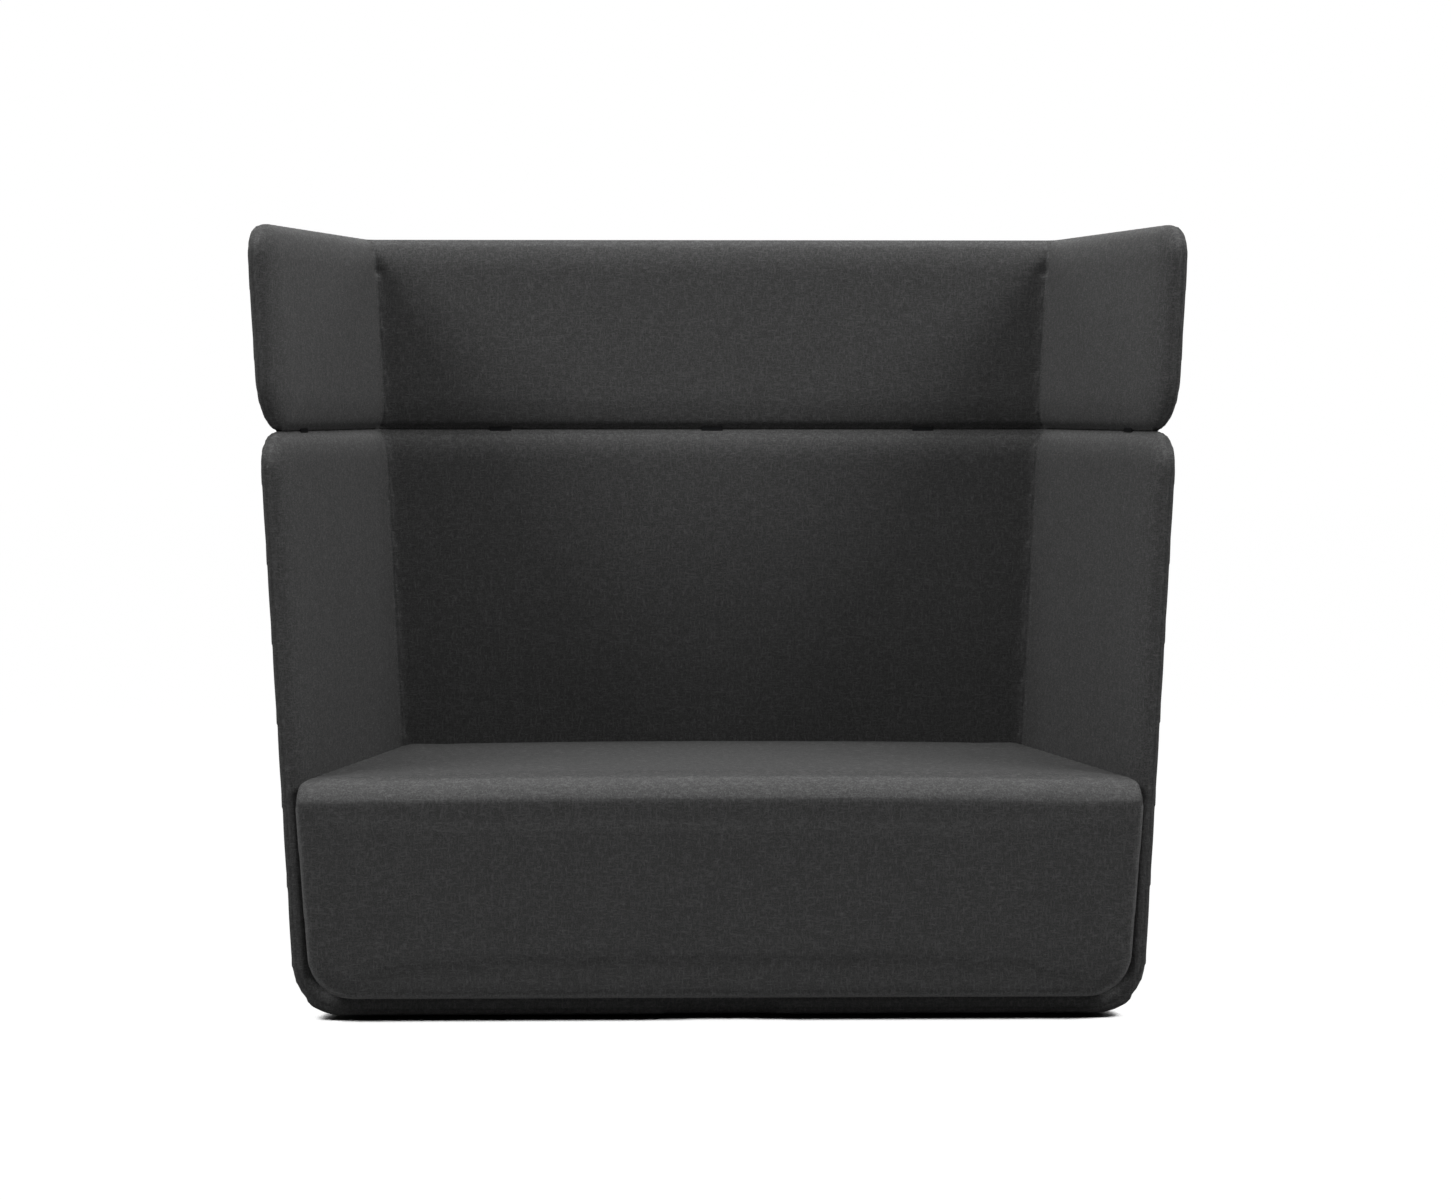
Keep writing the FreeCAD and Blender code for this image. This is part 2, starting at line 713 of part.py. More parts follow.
def strap_bolts_and_bores():
    """Bolt solids, and the holes that they need in each strap and board."""
    bolts = []
    bores = {}
    boards = {"back_strap": ("back_panel", "collar_back_board"),
              "wing_strap": ("side_panel", "collar_wing_board")}
    shank = dims.strap_thickness + dims.strap_bolt_grip
    for strap, places in strap_bolt_places().items():
        kind = strap[:len("back_strap")]
        side = strap[len("back_strap"):]
        for number, (seat, outward) in enumerate(places):
            name = f"{strap}_bolt_{number}"
            head = rod(name + "_head", seat, -outward, dims.strap_bolt_head, dims.strap_bolt_head_height)
            stem = rod(name + "_shank", seat, outward, dims.strap_bolt_diameter, shank)
            bolts.append(boolean("Part::Fuse", name, head, stem))
            hole = rod(name + "_hole", seat - outward * dims.fit_gap.value, outward,
                       dims.strap_bolt_diameter + 2 * dims.dowel_play, shank + 2 * dims.fit_gap)
            board = boards[kind][number // 2] + (side if kind == "wing_strap" else "")
            bores.setdefault(strap, []).append(hole)
            bores.setdefault(board, []).append(hole)
    return bolts, bores


def collar_straps(bolts, bores):
    layer = strap_layer("strap_layer", board_inner, strap_inner)
    for name, box in strap_boxes("strap", ZERO).items():
        blank = common(name + "_blank", layer, box)
        nodes[name] = cut(name, blank, group(name + "_holes", bores[name]))
    nodes["strap_bolts"] = group("strap_bolts", bolts)


def strap_rooms():
    """Slits for the straps in padding and covers."""
    layer = strap_layer("strap_room_layer", board_inner - dims.fit_gap, strap_inner + dims.fit_gap)
    boxes = group("strap_room_boxes", list(strap_boxes("strap_room", dims.fit_gap).values()))
    return common("strap_rooms", layer, boxes)


def bolt_head_rooms():
    """Room for the heads of the strap bolts in the padding."""
    rooms = []
    for strap, places in strap_bolt_places().items():
        for number, (seat, outward) in enumerate(places):
            rooms.append(rod(f"{strap}_head_room_{number}", seat, -outward,
                             dims.strap_bolt_head + 2 * dims.fit_gap,
                             dims.strap_bolt_head_height + dims.fit_gap))
    return rooms


# Seat bolts, glides and what they pass through

frame_front = seat_front + dims.frame_front_padding
frame_rear = back_y(frame_low, seat_depth_in_wall) - dims.frame_rear_padding


def frame_half(y):
    """Half the width of the seat frame."""
    return half_width(y, frame_low, seat_depth_in_wall) - dims.frame_side_padding


def seat_bolt_places():
    """Under the centre rails and the side rails, near their two ends."""
    places = []
    for y in (frame_front + dims.seat_bolt_front, frame_rear - dims.seat_bolt_rear):
        side_x = frame_half(y) - dims.rail_thickness / 2 * root(1 + splay * splay)
        for x in (-side_x, -dims.centre_rail_spread, dims.centre_rail_spread, side_x):
            places.append((x, y))
    return places


def glide_places():
    front = front_foot + dims.glide_front_setback
    rear = back_y(dims.floor_clearance, ZERO) - dims.glide_rear_setback
    return {
        "glide_front_left": (-dims.glide_front_spread, front),
        "glide_front_middle": (ZERO, front),
        "glide_front_right": (dims.glide_front_spread, front),
        "glide_rear_left": (-dims.glide_rear_spread, rear),
        "glide_rear_middle": (ZERO, rear),
        "glide_rear_right": (dims.glide_rear_spread, rear),
    }


def seat_bolts():
    """Countersunk bolts from under the base board into the seat rails, with spacer tubes between."""
    bolts = []
    spacers = []
    drop = dims.seat_bolt_head / 2 - dims.seat_bolt_diameter / 2
    for number, (x, y) in enumerate(seat_bolt_places()):
        name = f"seat_bolt_{number}"
        head = doc.addObject("Part::Cone", name + "_head")
        bind(head, "Radius1", dims.seat_bolt_head / 2)
        bind(head, "Radius2", dims.seat_bolt_diameter / 2)
        bind(head, "Height", drop)
        place(head, x, y, base_low)
        shank_length = frame_low + dims.seat_bolt_grip - base_low
        shank = upright(name + "_shank", x, y, base_low, dims.seat_bolt_diameter, shank_length)
        bolts.append(boolean("Part::Fuse", name, head, shank))
        tube = upright(f"spacer_{number}_tube", x, y, base_high, dims.spacer_diameter, frame_low - base_high)
        bore = upright(f"spacer_{number}_bore", x, y, base_high - dims.fit_gap,
                       dims.seat_bolt_diameter + 2 * dims.fit_gap, frame_low - base_high + 2 * dims.fit_gap)
        spacers.append(cut(f"spacer_{number}", tube, bore))
    nodes["seat_bolts"] = group("seat_bolts", bolts)
    nodes["seat_spacers"] = group("seat_spacers", spacers)


def seat_bolt_holes():
    """Clearance holes in the base board and the seat rails, with the countersinks."""
    holes = []
    drop = dims.seat_bolt_head / 2 - dims.seat_bolt_diameter / 2
    wider = dims.seat_bolt_diameter + 2 * dims.dowel_play
    for number, (x, y) in enumerate(seat_bolt_places()):
        name = f"seat_bolt_hole_{number}"
        low = base_low - dims.fit_gap
        high = frame_low + dims.seat_bolt_grip + dims.fit_gap
        bore = upright(name + "_bore", x, y, low, wider, high - low)
        sink = doc.addObject("Part::Cone", name + "_sink")
        bind(sink, "Radius1", dims.seat_bolt_head / 2 + dims.dowel_play)
        bind(sink, "Radius2", dims.seat_bolt_diameter / 2 + dims.dowel_play)
        bind(sink, "Height", drop + dims.dowel_play)
        place(sink, x, y, base_low)
        holes.append(boolean("Part::Fuse", name, bore, sink))
    return holes


def spacer_holes():
    """Holes for the spacer tubes in the base pad and the shell's inner cover."""
    return [upright(f"spacer_hole_{number}", x, y, base_high - dims.fit_gap,
                    dims.spacer_diameter + 2 * dims.fit_gap, frame_low - base_high + 2 * dims.fit_gap)
            for number, (x, y) in enumerate(seat_bolt_places())]


glide_stop = base_low - dims.dust_cover_thickness - dims.fit_gap


def glides():
    """Levelling glides: sole, hub and threaded stem, turned in one piece."""
    for name, (x, y) in glide_places().items():
        body = doc.addObject("PartDesign::Body", name)
        profile = sketch_on(body, name + "_profile", "XZ_Plane")
        stem_top = glide_stop + dims.glide_stem_length
        sole = dims.glide_diameter / 2
        hub = dims.glide_hub_diameter / 2
        stem = dims.glide_stem_diameter / 2
        draw_polygon(profile, [(ZERO, ZERO), (sole - 2, ZERO), (sole, as_size(2)),
                               (sole, dims.glide_sole_height - 2), (hub, dims.glide_sole_height),
                               (hub, glide_stop), (stem, glide_stop), (stem, stem_top), (ZERO, stem_top)])
        turned = body.newObject("PartDesign::Revolution", name + "_turned")
        turned.Profile = profile
        turned.ReferenceAxis = (profile, ["V_Axis"])
        turned.Angle = 360
        place(body, x, y, ZERO)
        nodes[name] = body


def glide_nuts():
    """Flanged nuts pressed into the base board from above."""
    nuts = []
    for name, (x, y) in glide_places().items():
        flange = upright(name + "_nut_flange", x, y, base_high, dims.nut_flange_diameter,
                         dims.nut_flange_thickness)
        barrel = upright(name + "_nut_barrel", x, y, base_low + dims.fit_gap, dims.nut_barrel_diameter,
                         dims.board_thickness - dims.fit_gap)
        blank = boolean("Part::Fuse", name + "_nut_blank", flange, barrel)
        bore = upright(name + "_nut_bore", x, y, base_low, dims.glide_stem_diameter +
                       2 * dims.glide_thread_play, dims.board_thickness + 2 * dims.nut_flange_thickness)
        nuts.append(cut(name + "_nut", blank, bore))
    nodes["glide_nuts"] = group("glide_nuts", nuts)


def glide_holes():
    """For the nuts in the base board, the stems in the dust cover and both in the base pad."""
    board = []
    cloth = []
    pad = []
    for name, (x, y) in glide_places().items():
        board.append(upright(name + "_board_hole", x, y, base_low - dims.fit_gap,
                             dims.nut_barrel_diameter + 2 * dims.dowel_play,
                             dims.board_thickness + 2 * dims.fit_gap))
        cloth.append(upright(name + "_cloth_hole", x, y, ZERO,
                             dims.glide_stem_diameter + 4 * dims.fit_gap, base_low + dims.fit_gap))
        pad.append(upright(name + "_pad_hole", x, y, base_high - dims.fit_gap,
                           dims.nut_flange_diameter + 2 * dims.fit_gap,
                           glide_stop + dims.glide_stem_length + dims.fit_gap - base_high))
    return board, cloth, pad


# Padding and covers of the shell and the collar

def window(name, shrink, low, high):
    """The opening in the underside of the shell, drawn smaller by some play."""
    def half(y):
        return half_width(y, dims.floor_clearance, ZERO) - dims.window_margin - shrink
    near = front_foot + dims.window_front + shrink
    far = back_y(dims.floor_clearance, ZERO) - dims.window_rear - shrink
    return prism(name, "XY_Plane", trapezium(half, near, far), high - low, low, True)


def mitre_wedge(name, low, high):
    """Everything behind the two planes that halve the rear corners."""
    ratio = side_unit / back_unit
    per_y = ratio - splay
    per_z = flare - ratio * lean
    at_origin = half_width(ZERO, ZERO, ZERO) - ratio * back_y(ZERO, ZERO)

    def half(y):
        return at_origin + per_y * y + per_z * low
    slant = -per_z / per_y
    far = back_y(high, -4 * REACH)
    tip = -(at_origin + per_z * low) / per_y
    body = doc.addObject("PartDesign::Body", name)
    plan = sketch_on(body, name + "_plan", "XY_Plane", low)
    draw_polygon(plan, [(ZERO, tip), (half(far), far), (-half(far), far)])
    pad = body.newObject("PartDesign::Pad", name + "_pad")
    pad.Profile = plan
    bind(pad, "Length", high - low)
    pad.UseCustomVector = True
    pad.Direction = FreeCAD.Vector(0, slant.value, 1)
    bind(pad, "Direction.y", slant)
    pad.AlongSketchNormal = True
    doc.recompute()
    return body


def shell_padding(rooms, holes):
    form = shell_form("shell_pad_form", pad_skin)
    room = cut("shell_ply_room",
               shell_solid("shell_room_outside", dims.board_depth - dims.fit_gap,
                           dims.board_margin - dims.fit_gap),
               shell_core("shell_room_inside", board_inner + dims.fit_gap))
    under = window("pad_window", ZERO, -REACH, base_high)
    padding = cut("shell_padding", form, room)
    padding = cut("shell_padding_open", padding, group("shell_padding_tools", rooms + [under] + holes))
    floor_zone = prism("base_pad_zone", "XY_Plane", trapezium(base_half, front_foot - REACH,
                       back_y(dims.floor_clearance, dims.post_reach)), well_floor, ZERO, True)
    nodes["base_pad"] = common("base_pad", padding, floor_zone)
    walls = cut("wall_padding", padding, floor_zone)
    wedge = mitre_wedge("shell_mitre", -REACH, dims.groove_height + REACH)
    nodes["back_pad"] = common("back_pad", walls, wedge)
    sides = split_sides("side_pad", cut("side_padding", walls, wedge))
    for side in SIDES:
        nodes[f"side_pad_{side}"] = sides[side]


def collar_padding(rooms):
    form = collar_form("collar_pad_form", pad_skin)
    inside = collar_core("collar_room_inside", board_inner + dims.fit_gap,
                         dims.rear_radius - board_inner - dims.fit_gap)
    room = cut("collar_ply_room",
               collar_solid("collar_room_outside", dims.board_depth - dims.fit_gap,
                            dims.board_margin - dims.fit_gap), inside)
    padding = cut("collar_padding_closed", form, room)
    padding = cut("collar_padding", padding, group("collar_padding_tools", rooms))
    wedge = mitre_wedge("collar_mitre", dims.groove_height - REACH, dims.overall_height + REACH)
    nodes["collar_back_pad"] = common("collar_back_pad", padding, wedge)
    sides = split_sides("collar_side_pad", cut("collar_side_padding", padding, wedge))
    for side in SIDES:
        nodes[f"collar_side_pad_{side}"] = sides[side]


def shell_covers(rooms, holes):
    """Two sewn skins that meet at the seam round the edges."""
    skin = cut("shell_skin", shell_form("shell_face", ZERO),
               shell_form("shell_lining", dims.cover_thickness))
    under = window("cover_window", ZERO, -REACH, base_high)
    skin = cut("shell_skin_open", skin, group("shell_skin_tools", [rooms, under] + holes))
    inside = shell_core("shell_seam", dims.seam_depth)
    nodes["shell_inner_cover"] = common("shell_inner_cover", skin, inside)
    nodes["shell_outer_cover"] = cut("shell_outer_cover", skin, inside)


def collar_covers(rooms):
    skin = cut("collar_skin", collar_form("collar_face", ZERO),
               collar_form("collar_lining", dims.cover_thickness))
    skin = cut("collar_skin_open", skin, rooms)
    inside = collar_core("collar_seam", dims.seam_depth, dims.rear_radius - dims.seam_depth)
    nodes["collar_inner_cover"] = common("collar_inner_cover", skin, inside)
    nodes["collar_outer_cover"] = cut("collar_outer_cover", skin, inside)


def dust_cover(cloth_holes):
    sheet = window("dust_cloth", dims.fit_gap, base_low - dims.dust_cover_thickness, base_low)
    nodes["dust_cover"] = cut("dust_cover", sheet, group("dust_cover_holes", cloth_holes))


# Seat

def crown_prism(name, skin):
    """A bar whose top is a shallow arc across the seat."""
    half = half_width(seat_front, dims.seat_height, seat_depth_in_wall)
    edge = dims.seat_height - skin
    radius = (half * half + dims.seat_crown * dims.seat_crown) / (2 * dims.seat_crown)
    centre = edge + dims.seat_crown - radius
    body = doc.addObject("PartDesign::Body", name)
    sketch = sketch_on(body, name + "_outline", "XZ_Plane")
    low = -REACH
    left_low = FreeCAD.Vector(-half.value, low.value, 0)
    right_low = FreeCAD.Vector(half.value, low.value, 0)
    left_top = FreeCAD.Vector(-half.value, edge.value, 0)
    right_top = FreeCAD.Vector(half.value, edge.value, 0)
    sketch.addGeometry(Part.LineSegment(left_low, right_low))
    sketch.addGeometry(Part.LineSegment(right_low, right_top))
    sketch.addGeometry(Part.LineSegment(left_top, left_low))
    circle = Part.Circle(FreeCAD.Vector(0, centre.value, 0), FreeCAD.Vector(0, 0, 1), radius.value)
    swing = math.asin(half.value / radius.value)
    sketch.addGeometry(Part.ArcOfCircle(circle, math.pi / 2 - swing, math.pi / 2 + swing))
    for first, first_end, second, second_end in ((0, 2, 1, 1), (1, 2, 3, 1), (3, 2, 2, 1), (2, 2, 0, 1)):
        sketch.addConstraint(Sketcher.Constraint("Coincident", first, first_end, second, second_end))
    pin_point(sketch, 0, -half, low)
    pin_point(sketch, 1, half, low)
    pin_point(sketch, 2, -half, edge)
    rule = sketch.addConstraint(Sketcher.Constraint("DistanceY", -1, 1, 3, 1, edge.value))
    bind(sketch, f"Constraints[{rule}]", edge)
    rule = sketch.addConstraint(Sketcher.Constraint("DistanceX", -1, 1, 3, 1, half.value))
    bind(sketch, f"Constraints[{rule}]", half)
    rule = sketch.addConstraint(Sketcher.Constraint("Radius", 3, radius.value))
    bind(sketch, f"Constraints[{rule}]", radius)
    pad = body.newObject("PartDesign::Pad", name + "_pad")
    pad.Profile = sketch
    bind(pad, "Length", as_size(WIDE))
    pad.SideType = "Symmetric"
    doc.recompute()
    return body


def faces_forward(face):
    return isinstance(face.Surface, Part.Plane) and face.normalAt(0, 0).y < TOUCH - 1


def seat_form(name, skin):
    """The seat block: crowned top, round front edge, lower side edges that follow the shell."""
    block = flared_block(name + "_block", seat_depth_in_wall + skin, seat_low + skin,
                         dims.seat_height + dims.seat_crown + REACH, lambda z: seat_front + skin,
                         dims.seat_base_radius - skin, dims.seat_rear_radius - skin)
    crowned = common(name + "_crowned", block, crown_prism(name + "_crown", skin))
    front = next(face for face in crowned.Shape.Faces if faces_forward(face))
    highest = max(front.Edges, key=lambda edge: edge.CenterOfMass.z)
    nose = doc.addObject("Part::Fillet", name + "_nose")
    nose.Base = crowned
    nose_radius = dims.seat_front_radius - skin
    nose.Edges = [(number, nose_radius.value, nose_radius.value)
                  for number, edge in enumerate(crowned.Shape.Edges, 1) if edge.isSame(highest)]
    doc.recompute()
    ridge = nose.Shape.BoundBox.ZMax - dims.seat_crown.value - nose_radius.value / 2
    rims = [face for face in nose.Shape.Faces
            if faces_forward(face) or (face.CenterOfMass.z > ridge and face.BoundBox.XLength > WIDE / 8)]
    rims = [face for face in rims if face.CenterOfMass.y < frame_rear.value]
    return roll_edges(name + "_soft", nose, rims, dims.seat_edge_radius - skin)


def frame_outline(inset):
    """Corners of the seat frame in plan, moved inward."""
    def half(y):
        return frame_half(y) - inset * root(1 + splay * splay)
    return trapezium(half, frame_front + inset, frame_rear - inset)


def seat_rails(holes):
    """Rails of the seat frame, its corner blocks and the bolt holes from below."""
    thick = dims.rail_thickness
    slanted = thick * root(1 + splay * splay)
    front_joint = frame_front + thick
    rear_joint = frame_rear - thick
    outlines = {
        "seat_front_rail": trapezium(frame_half, frame_front, front_joint),
        "seat_rear_rail": trapezium(frame_half, rear_joint, frame_rear),
    }
    for side, sign in SIDES.items():
        front_x = frame_half(front_joint)
        rear_x = frame_half(rear_joint)
        outlines[f"seat_side_rail_{side}"] = [
            (sign * (front_x - slanted), front_joint), (sign * front_x, front_joint),
            (sign * rear_x, rear_joint), (sign * (rear_x - slanted), rear_joint)]
        middle = sign * dims.centre_rail_spread
        outlines[f"seat_centre_rail_{side}"] = [
            (middle - thick / 2, front_joint), (middle + thick / 2, front_joint),
            (middle + thick / 2, rear_joint), (middle - thick / 2, rear_joint)]
    for name, corners in outlines.items():
        height = dims.centre_rail_height if "centre" in name else dims.frame_height
        rail = prism(name + "_blank", "XY_Plane", corners, height, frame_low, True)
        doc.recompute()
        nodes[name] = cut(name, rail, group(name + "_holes", holes))
    blocks = []
    for side, sign in SIDES.items():
        for end, joint, inward in (("front", front_joint, 1), ("rear", rear_joint, -1)):
            leg_y = joint + inward * dims.corner_block
            corner = sign * (frame_half(joint) - slanted)
            along = sign * (frame_half(leg_y) - slanted)
            across = corner - sign * dims.corner_block
            blocks.append(prism(f"corner_block_{end}_{side}", "XY_Plane",
                                [(corner, joint), (along, leg_y), (across, joint)],
                                dims.corner_block_height, frame_top - dims.corner_block_height, True))
    nodes["seat_corner_blocks"] = group("seat_corner_blocks", blocks)


def seat_webbing():
    """Elastic straps stretched from the front rail to the rear rail."""
    straps = []
    for number in range(WEBBING_STRAPS):
        middle = dims.webbing_pitch * (number - (WEBBING_STRAPS - 1) / 2)
        half = dims.webbing_width / 2
        straps.append(region(f"webbing_{number}", (middle - half, frame_front, frame_top),
                             (middle + half, frame_rear, frame_top + dims.webbing_thickness)))
    nodes["seat_webbing"] = group("seat_webbing", straps)


def seat_foam():
    room_top = frame_top + dims.webbing_thickness + dims.fit_gap
    room = prism("seat_frame_room", "XY_Plane", frame_outline(-dims.fit_gap), room_top + REACH, -REACH, True)
    doc.recompute()
    nodes["seat_foam"] = cut("seat_foam", seat_form("seat_foam_form", pad_skin), room)


def seat_cover():
    """One sewn cover, turned in under the rails."""
    skin = cut("seat_skin", seat_form("seat_face", ZERO), seat_form("seat_lining", dims.cover_thickness))
    hem = prism("seat_hem_opening", "XY_Plane", frame_outline(ZERO),
                seat_low + dims.seat_base_radius / 2, ZERO, True)
    doc.recompute()
    nodes["seat_cover"] = cut("seat_cover", skin, hem)


def build():
    bolts, bores = strap_bolts_and_bores()
    bolt_holes = seat_bolt_holes()
    board_holes, cloth_holes, pad_holes = glide_holes()
    spacers = spacer_holes()
    rooms = strap_rooms()
    plain = ("rear_rail", "base_curve_left", "base_curve_right", "corner_post_left", "corner_post_right",
             "collar_corner_post_left", "collar_corner_post_right")
    bores.update({name: [] for name in plain})
    bores["base_board"] = board_holes + bolt_holes
    shell_frame(bores)
    collar_frame(bores)
    collar_straps(bolts, bores)
    padding_rooms = [rooms] + bolt_head_rooms()
    shell_padding(padding_rooms, spacers + pad_holes)
    collar_padding(padding_rooms)
    shell_covers(rooms, spacers)
    collar_covers(rooms)
    dust_cover(cloth_holes)
    seat_rails(bolt_holes)
    seat_webbing()
    seat_foam()
    seat_cover()
    seat_bolts()
    glides()
    glide_nuts()
    doc.recompute()


def check_and_write():
    """Stop at any failed object or bad solid, then write one file for each node."""
    for item in doc.Objects:
        if "Invalid" in item.State or "Error" in item.State:
            raise RuntimeError(f"{item.Name} failed: {item.State}")
    for name, item in nodes.items():
        if item.Shape.isNull() or not item.Shape.isValid() or not item.Shape.Solids:
            raise RuntimeError(f"{name} has no valid solid")
    os.makedirs("parts", exist_ok=True)
    for name, item in nodes.items():
        item.Label = name
        item.Shape.exportStep(f"parts/{name}.step")


build()
check_and_write()
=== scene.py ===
"""High-back sofa in charcoal felt: upholstery, finishes, studio and camera."""
import json
import math

import bpy
import numpy as np
from mathutils import Euler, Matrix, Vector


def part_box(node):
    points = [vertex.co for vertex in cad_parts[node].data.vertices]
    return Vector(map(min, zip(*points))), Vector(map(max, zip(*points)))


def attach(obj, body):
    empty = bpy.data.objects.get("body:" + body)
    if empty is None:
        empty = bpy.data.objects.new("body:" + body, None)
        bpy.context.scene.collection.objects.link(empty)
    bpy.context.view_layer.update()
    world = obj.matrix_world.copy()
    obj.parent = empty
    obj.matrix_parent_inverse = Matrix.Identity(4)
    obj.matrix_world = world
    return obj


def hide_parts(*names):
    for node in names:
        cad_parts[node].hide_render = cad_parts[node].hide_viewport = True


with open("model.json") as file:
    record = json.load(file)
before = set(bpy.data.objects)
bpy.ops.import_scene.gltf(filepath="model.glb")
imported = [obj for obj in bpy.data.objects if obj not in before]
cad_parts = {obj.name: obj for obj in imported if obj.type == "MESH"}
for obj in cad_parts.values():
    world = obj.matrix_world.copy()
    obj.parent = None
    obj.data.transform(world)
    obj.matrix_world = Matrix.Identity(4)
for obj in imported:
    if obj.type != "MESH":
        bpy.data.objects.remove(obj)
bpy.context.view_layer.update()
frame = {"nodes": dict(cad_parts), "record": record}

# The sofa's planes, in metres: floor and groove heights, and the slopes of sides, back and front edges
HEIGHT = 1.365
FLOOR_CLEARANCE = 0.008
GROOVE_HEIGHT = 1.007
BASE_HALF = 0.731
FRONT_FOOT = -0.366
SEAT_FRONT = -0.405
SEAT_INSET = 0.0405
SEAT_FOOT = 0.0425
WALL = 0.040
ROLL = 0.013
FLARE = math.tan(math.radians(4.25))
SPLAY = math.tan(math.radians(11.9))
LEAN = math.tan(math.radians(5.4))
RAKE = math.tan(math.radians(3.4))
SIDE_UNIT = math.sqrt(1 + SPLAY ** 2 + FLARE ** 2)
BACK_UNIT = math.sqrt(1 + LEAN ** 2)
FRONT_UNIT = math.sqrt(1 + RAKE ** 2)
BACK_TOP = 0.405 + ROLL * (LEAN + BACK_UNIT - 1)
SEAM_DEPTH = 0.011
PAD_SKIN = 0.0025
COVER = 0.002
DUST_COVER_TOP = 0.014
REAR_RADIUS = 0.045
BASE_RADIUS = 0.095
SHELL_TOP_RADIUS = 0.072
COLLAR_TOP_RADIUS = 0.066
COLLAR_FOOT_RADIUS = 0.090
SEAT_FOOT_RADIUS = 0.076

# The upholstery's mesh sizes, soft edges, seams, puckers, groove and stuffing, in metres
SHELL_VOXEL = 0.0085
COLLAR_VOXEL = 0.0075
SEAT_VOXEL = 0.0085
LAYING_LIMIT = 0.006
COVER_STEP = COVER + 0.0003
TRUED_LIMIT = 0.007
EDGE_FALL = 0.011
SHELL_EDGE_REACH = 0.060
COLLAR_EDGE_REACH = 0.065
SEAM_DRAW = 0.0012
SEAM_WIDTH = 0.0025
# Painted shade: how much darker the felt is painted along the seams
SEAM_SHADE = 0.3
FINE_MESH_REACH = 0.012
FINE_MESH_CUTS = 3
# Painted highlight: how much lighter the felt is painted where it turns upward over a roll
SHELL_ROLL_HIGHLIGHT = 0.6
COLLAR_ROLL_HIGHLIGHT = 0.4
SEAT_ROLL_HIGHLIGHT = 0.6
# The seat's front edge: a slight raised ridge, with a painted highlight along it
SEAT_EDGE_RISE = 0.0010
SEAT_EDGE_WIDTH = 0.005
SEAT_EDGE_HIGHLIGHT = -1.0
PUCKER_DROP = 0.060
PUCKER_DEPTH = 0.006
PUCKER_RADIUS = 0.011
SHELL_OPENING = 0.002
COLLAR_OPENING = 0.004
STUFFING_PRESSURE = 4.0
STUFFING_SWELL = 0.0025
STUFFING_FRAMES = 20
SEAT_ROLL_LENGTH = 0.075
SEAT_ROLL_DROP = 0.012

SHELL_PADS = ["side_pad_left", "side_pad_right", "back_pad", "base_pad"]
SHELL_BOARDS = ["side_panel_left", "side_panel_right", "corner_post_left", "corner_post_right", "back_panel",
                "base_curve_left", "base_curve_right", "rear_rail", "base_board"]
SHELL_COVERS = ["shell_outer_cover", "shell_inner_cover"]
COLLAR_COVERS = ["collar_outer_cover", "collar_inner_cover"]
COLLAR_PADS = ["collar_side_pad_left", "collar_side_pad_right", "collar_back_pad"]
COLLAR_BOARDS = ["collar_wing_board_left", "collar_wing_board_right", "collar_corner_post_left",
                 "collar_corner_post_right", "collar_back_board"]
STRAPS = ["back_strap_left", "back_strap_centre", "back_strap_right", "wing_strap_left", "wing_strap_right"]


# Distances inside the sofa's faces, for arrays of points

def side_depth(p):
    half = BASE_HALF + p[:, 2] * FLARE - (p[:, 1] - FRONT_FOOT) * SPLAY
    return (half - np.abs(p[:, 0])) / SIDE_UNIT


def back_depth(p):
    return (BACK_TOP - (HEIGHT - p[:, 2]) * LEAN - p[:, 1]) / BACK_UNIT


def front_depth(p):
    return (p[:, 1] - FRONT_FOOT - p[:, 2] * RAKE) / FRONT_UNIT


def rounded_least(first, second, radius):
    """Depth inside two faces that meet in a round."""
    corner = radius - np.hypot(np.maximum(radius - first, 0), np.maximum(radius - second, 0))
    return np.where((first < radius) & (second < radius), corner, np.minimum(first, second))


def mitre(p):
    """Signed distance in x from the plane that halves a rear corner."""
    ratio = SIDE_UNIT / BACK_UNIT
    at_origin = BASE_HALF + FRONT_FOOT * SPLAY - ratio * (BACK_TOP - HEIGHT * LEAN)
    edge = at_origin + (ratio - SPLAY) * p[:, 1] + (FLARE - ratio * LEAN) * p[:, 2]
    return np.abs(p[:, 0]) - edge


def smooth_step(low, high, value):
    t = np.clip((value - low) / (high - low), 0, 1)
    return t * t * (3 - 2 * t)


def hill(distance, width):
    return np.exp(-(distance / width) ** 2)


# Mesh helpers

def points_of(piece):
    flat = np.empty(len(piece.data.vertices) * 3)
    piece.data.vertices.foreach_get("co", flat)
    return flat.reshape(-1, 3)


def normals_of(piece):
    flat = np.empty(len(piece.data.vertices) * 3)
    piece.data.vertex_normals.foreach_get("vector", flat)
    return flat.reshape(-1, 3)


def set_points(piece, points):
    piece.data.vertices.foreach_set("co", np.ascontiguousarray(points).ravel())
    piece.data.update()


def pick(piece):
    """Make a piece the only selected one."""
    bpy.ops.object.select_all(action="DESELECT")
    piece.select_set(True)
    bpy.context.view_layer.objects.active = piece


def apply_modifier(piece, name):
    pick(piece)
    bpy.ops.object.modifier_apply(modifier=name)


